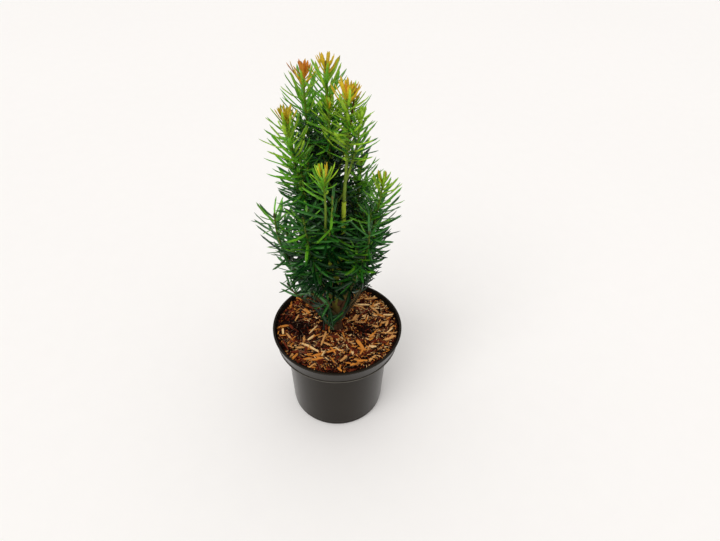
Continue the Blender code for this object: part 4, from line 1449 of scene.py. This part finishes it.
def needle_shapes(rows, leaf, rng):
    """The points of every needle, of shape (needles, stations x corners, 3).

    Its middle line is root + L t along + curve L (t^2 - t) up, and the section there
    is a flat blade with a raised midrib, w(t) wide.
    """
    count = len(rows["length"])
    up = np.cross(rows["side"], rows["along"])
    roll = np.radians(rng.uniform(-NEEDLE_ROLL, NEEDLE_ROLL, count))[:, None]
    side = np.cos(roll) * rows["side"] + np.sin(roll) * up
    face = np.cos(roll) * up - np.sin(roll) * rows["side"]
    t = NEEDLE_STATIONS
    length = rows["length"][:, None, None]
    curve = leaf.curve * rng.uniform(*CURVE_SCATTER, count)[:, None, None]
    sweep = rng.normal(0, SWEEP, count)[:, None, None]
    bow = (t**2 - t)[None, :, None]
    line = rows["root"][:, None] + length * t[None, :, None] * rows["along"][:, None]
    line = line + length * bow * (curve * up[:, None] + sweep * rows["side"][:, None])
    wide = leaf.width * np.clip(rows["length"] / leaf.length, LEAST_WIDTH, 1.0) / 2
    wide = wide * rng.uniform(*WIDTH_SCATTER, count)
    half = wide[:, None] * NEEDLE_WIDTHS
    thick = np.full((count, 1), leaf.thickness / 2) * np.sqrt(NEEDLE_WIDTHS)
    a = (half[..., None] * NEEDLE_SECTION[:, 0])[..., None] * side[:, None, None]
    b = (thick[..., None] * NEEDLE_SECTION[:, 1])[..., None] * face[:, None, None]
    return (line[:, :, None] + a + b).reshape(count, -1, 3)


class YEW_OT_foliage(bpy.types.Operator):
    """Grows the twigs, buds and needles that stand for the masses of foliage"""

    bl_idname = "yew.foliage"
    bl_label = "Foliage"

    def execute(self, context):
        leaf = context.scene.yew_foliage
        stems = limb_stems()
        names = ["needles_" + shoot.name for shoot in BOUGH_SHOOTS + TRUNK_SHOOTS]
        self.masses = [*names, "needles_leader"]
        self.twigs(stems, leaf)
        self.needles(stems, leaf)
        return {"FINISHED"}

    def twigs(self, stems, leaf):
        """Ridged twigs and their buds, each bud a small pointed dome."""
        young, brown = tuple(leaf.twig), tuple(leaf.old_twig)
        twigs, russets, buds = [], [], []
        t = np.linspace(0.0, 1.0, 7)
        dome = np.sqrt(np.clip(1 - t**1.6, 0, 1)) * 0.9 + 0.1
        rows, sides = RELIEF_STATIONS, TWIG_SIDES
        for index, stem in enumerate(stems):
            path = resampled(stem.path, rows)
            radii = np.linspace(stem.radii[0], stem.radii[-1], rows)
            length = np.linalg.norm(path[-1] - path[0])
            relief = bark_relief(length, rows, sides, TWIG_RELIEF, SEED + 40 + index)
            (russets if stem.russet else twigs).append(tube(path, radii, sides, relief))
            tip = path[-1] - path[-2]
            tip /= np.linalg.norm(tip)
            base = path[-1] - tip * BUD_SINK
            bud = base + tip * t[:, None] * BUD_LENGTH * stem.scale
            buds.append(tube(bud, dome * BUD_RADIUS * stem.scale, sides))
        skin = {"stretch": 0.4, "bump": 0.0001, "specular": 0.2}
        green = mottled("green twig", brown, dimmed(brown, 0.5), 0.55, 80.0, 600.0, **skin)
        by_height(green, young, dimmed(young, 0.5), 0.15, 0.27)
        red, dark = (0.22, 0.08, 0.025), (0.10, 0.05, 0.015)
        russet = mottled("russet twig", red, dark, 0.55, 80.0, 600.0, **skin)
        low, dark = (0.030, 0.055, 0.012), (0.015, 0.030, 0.006)
        scale = mottled("bud scales", low, dark, 0.5, 200.0, 1500.0, specular=0.2)
        by_height(scale, (0.20, 0.19, 0.035), (0.10, 0.08, 0.02), 0.22, 0.29)
        add_solid("twigs", merged(twigs), green, "bark", self.masses)
        add_solid("twigs_russet", merged(russets), russet, "bark", self.masses)
        add_solid("buds", merged(buds), scale, "needles", self.masses)

    def needles(self, stems, leaf):
        """Every needle as a closed blade of its own, joined into a piece for each tone."""
        rng = np.random.default_rng(SEED + 5)
        rows = [along_stem(stem, leaf, rng) for stem in stems]
        rows += [on_bough(shoot, leaf, rng) for shoot in BOUGH_SHOOTS]
        rows = {key: np.concatenate([row[key] for row in rows]) for key in rows[0]}
        shortened(rows)
        keep = clear_of_limbs(rows)
        rows = {key: value[keep] for key, value in rows.items()}
        tones = tone_of(rows, rng)
        points = needle_shapes(rows, leaf, rng)
        stations, corners = len(NEEDLE_STATIONS), len(NEEDLE_SECTION)
        faces = [grid_faces(stations, corners), end_caps(stations, corners)]
        around = np.arange(corners) / corners
        own_map = np.broadcast_arrays(around[None, :], NEEDLE_STATIONS[:, None])
        own_map = np.stack(own_map, axis=-1).reshape(-1, 2)
        for tone, name in enumerate(NEEDLE_TONES):
            own = tones == tone
            if not own.any():
                raise RuntimeError(f"no needle took the tone {name}")
            colour, title = getattr(leaf, name), f"{name} needles"
            finish = needle_finish(title, colour, UNDER_SHARES[tone], GLOSSES[tone])
            shape = (*repeated(points[own], faces), np.tile(own_map, (int(own.sum()), 1)))
            add_solid(f"needles_{name}", shape, finish, "needles", self.masses, smooth=False)


# Stage


def aimed(away, place):
    """A matrix at place whose -Z points along away and whose +X is level."""
    away = away / np.linalg.norm(away)
    right = np.cross(away, (0.0, 0.0, 1.0))
    right /= np.linalg.norm(right)
    turn = Matrix(np.stack((right, np.cross(right, away), -away), axis=1).tolist())
    return Matrix.Translation(place) @ turn.to_4x4()


class YEW_OT_stage(bpy.types.Operator):
    """Sets the pale floor, the soft light and the camera of the photograph"""

    bl_idname = "yew.stage"
    bl_label = "Stage"

    def execute(self, context):
        stage = context.scene.yew_stage
        self.floor(stage)
        self.light(stage)
        self.camera(stage)
        return {"FINISHED"}

    def floor(self, stage):
        corners = np.array(((-1, -1, 0), (1, -1, 0), (1, 1, 0), (-1, 1, 0)), float)
        mesh = bpy.data.meshes.new("floor")
        mesh.from_pydata((FLOOR_HALF * corners).tolist(), [], [(0, 1, 2, 3)])
        pale = tuple(stage.floor)
        paper = mottled(
            "pale paper", pale, dimmed(pale, 0.985), 0.6, 1.5, 40.0, bump=0.0, specular=0.3
        )
        mesh.materials.append(paper)
        floor = bpy.data.objects.new("floor", mesh)
        bpy.context.scene.collection.objects.link(floor)

    def light(self, stage):
        world = bpy.data.worlds.new("soft sky")
        world.use_nodes = True
        sky = world.node_tree.nodes["Background"]
        sky.inputs["Color"].default_value = (1.0, 0.992, 0.98, 1.0)
        sky.inputs["Strength"].default_value = stage.sky
        bpy.context.scene.world = world
        lamp = bpy.data.lights.new("soft window", "SUN")
        lamp.energy = stage.window
        lamp.angle = math.radians(40)
        obj = bpy.data.objects.new("soft window", lamp)
        obj.matrix_world = aimed(LAMP_LINE, LAMP_PLACE)
        bpy.context.scene.collection.objects.link(obj)
        view = bpy.context.scene.view_settings
        view.view_transform = "Standard"
        view.look = "None"

    def camera(self, stage):
        """Looks along yaw and pitch, rolled about that line, as the photograph does."""
        yaw, pitch, roll = (math.radians(angle) for angle in CAMERA_ANGLES)
        flat = math.cos(pitch)
        forward = np.array((math.sin(yaw) * flat, math.cos(yaw) * flat, -math.sin(pitch)))
        level = np.array((math.cos(yaw), -math.sin(yaw), 0.0))
        square = np.cross(level, forward)
        right = level * math.cos(roll) + square * math.sin(roll)
        up = square * math.cos(roll) - level * math.sin(roll)
        camera = bpy.data.cameras.new("camera")
        camera.lens = stage.lens
        camera.sensor_width = 36.0
        camera.clip_start = 0.01
        obj = bpy.data.objects.new("camera", camera)
        turn = Matrix(np.stack((right, up, -forward), axis=1).tolist()).to_4x4()
        obj.matrix_world = Matrix.Translation(EYE) @ turn
        bpy.context.scene.collection.objects.link(obj)
        bpy.context.scene.camera = obj


# Add-on


class YEW_PT_panel(bpy.types.Panel):
    """The yew's pieces, each with its settings"""

    bl_label = "Potted young yew"
    bl_idname = "YEW_PT_panel"
    bl_space_type = "VIEW_3D"
    bl_region_type = "UI"
    bl_category = "Yew"

    def draw(self, context):
        for operator, group in STEPS:
            box = self.layout.box()
            box.operator(operator.bl_idname)
            if group is None:
                continue
            settings = getattr(context.scene, group)
            for name in settings.__annotations__:
                box.prop(settings, name)


SETTINGS = {
    "yew_pot": YewPotSettings,
    "yew_mulch": YewMulchSettings,
    "yew_limbs": YewLimbSettings,
    "yew_foliage": YewFoliageSettings,
    "yew_stage": YewStageSettings,
}
STEPS = (
    (YEW_OT_pot, "yew_pot"),
    (YEW_OT_medium, None),
    (YEW_OT_mulch, "yew_mulch"),
    (YEW_OT_limbs, "yew_limbs"),
    (YEW_OT_foliage, "yew_foliage"),
    (YEW_OT_stage, "yew_stage"),
)


def register():
    for group in SETTINGS.values():
        bpy.utils.register_class(group)
    for operator, _ in STEPS:
        bpy.utils.register_class(operator)
    bpy.utils.register_class(YEW_PT_panel)
    for name, group in SETTINGS.items():
        setattr(bpy.types.Scene, name, PointerProperty(type=group))


def unregister():
    for name in SETTINGS:
        delattr(bpy.types.Scene, name)
    bpy.utils.unregister_class(YEW_PT_panel)
    for operator, _ in reversed(STEPS):
        bpy.utils.unregister_class(operator)
    for group in reversed(SETTINGS.values()):
        bpy.utils.unregister_class(group)


def main():
    register()
    bpy.ops.yew.pot()
    bpy.ops.yew.medium()
    bpy.ops.yew.mulch()
    bpy.ops.yew.limbs()
    bpy.ops.yew.foliage()
    bpy.ops.yew.stage()


if __name__ == "__main__":
    main()
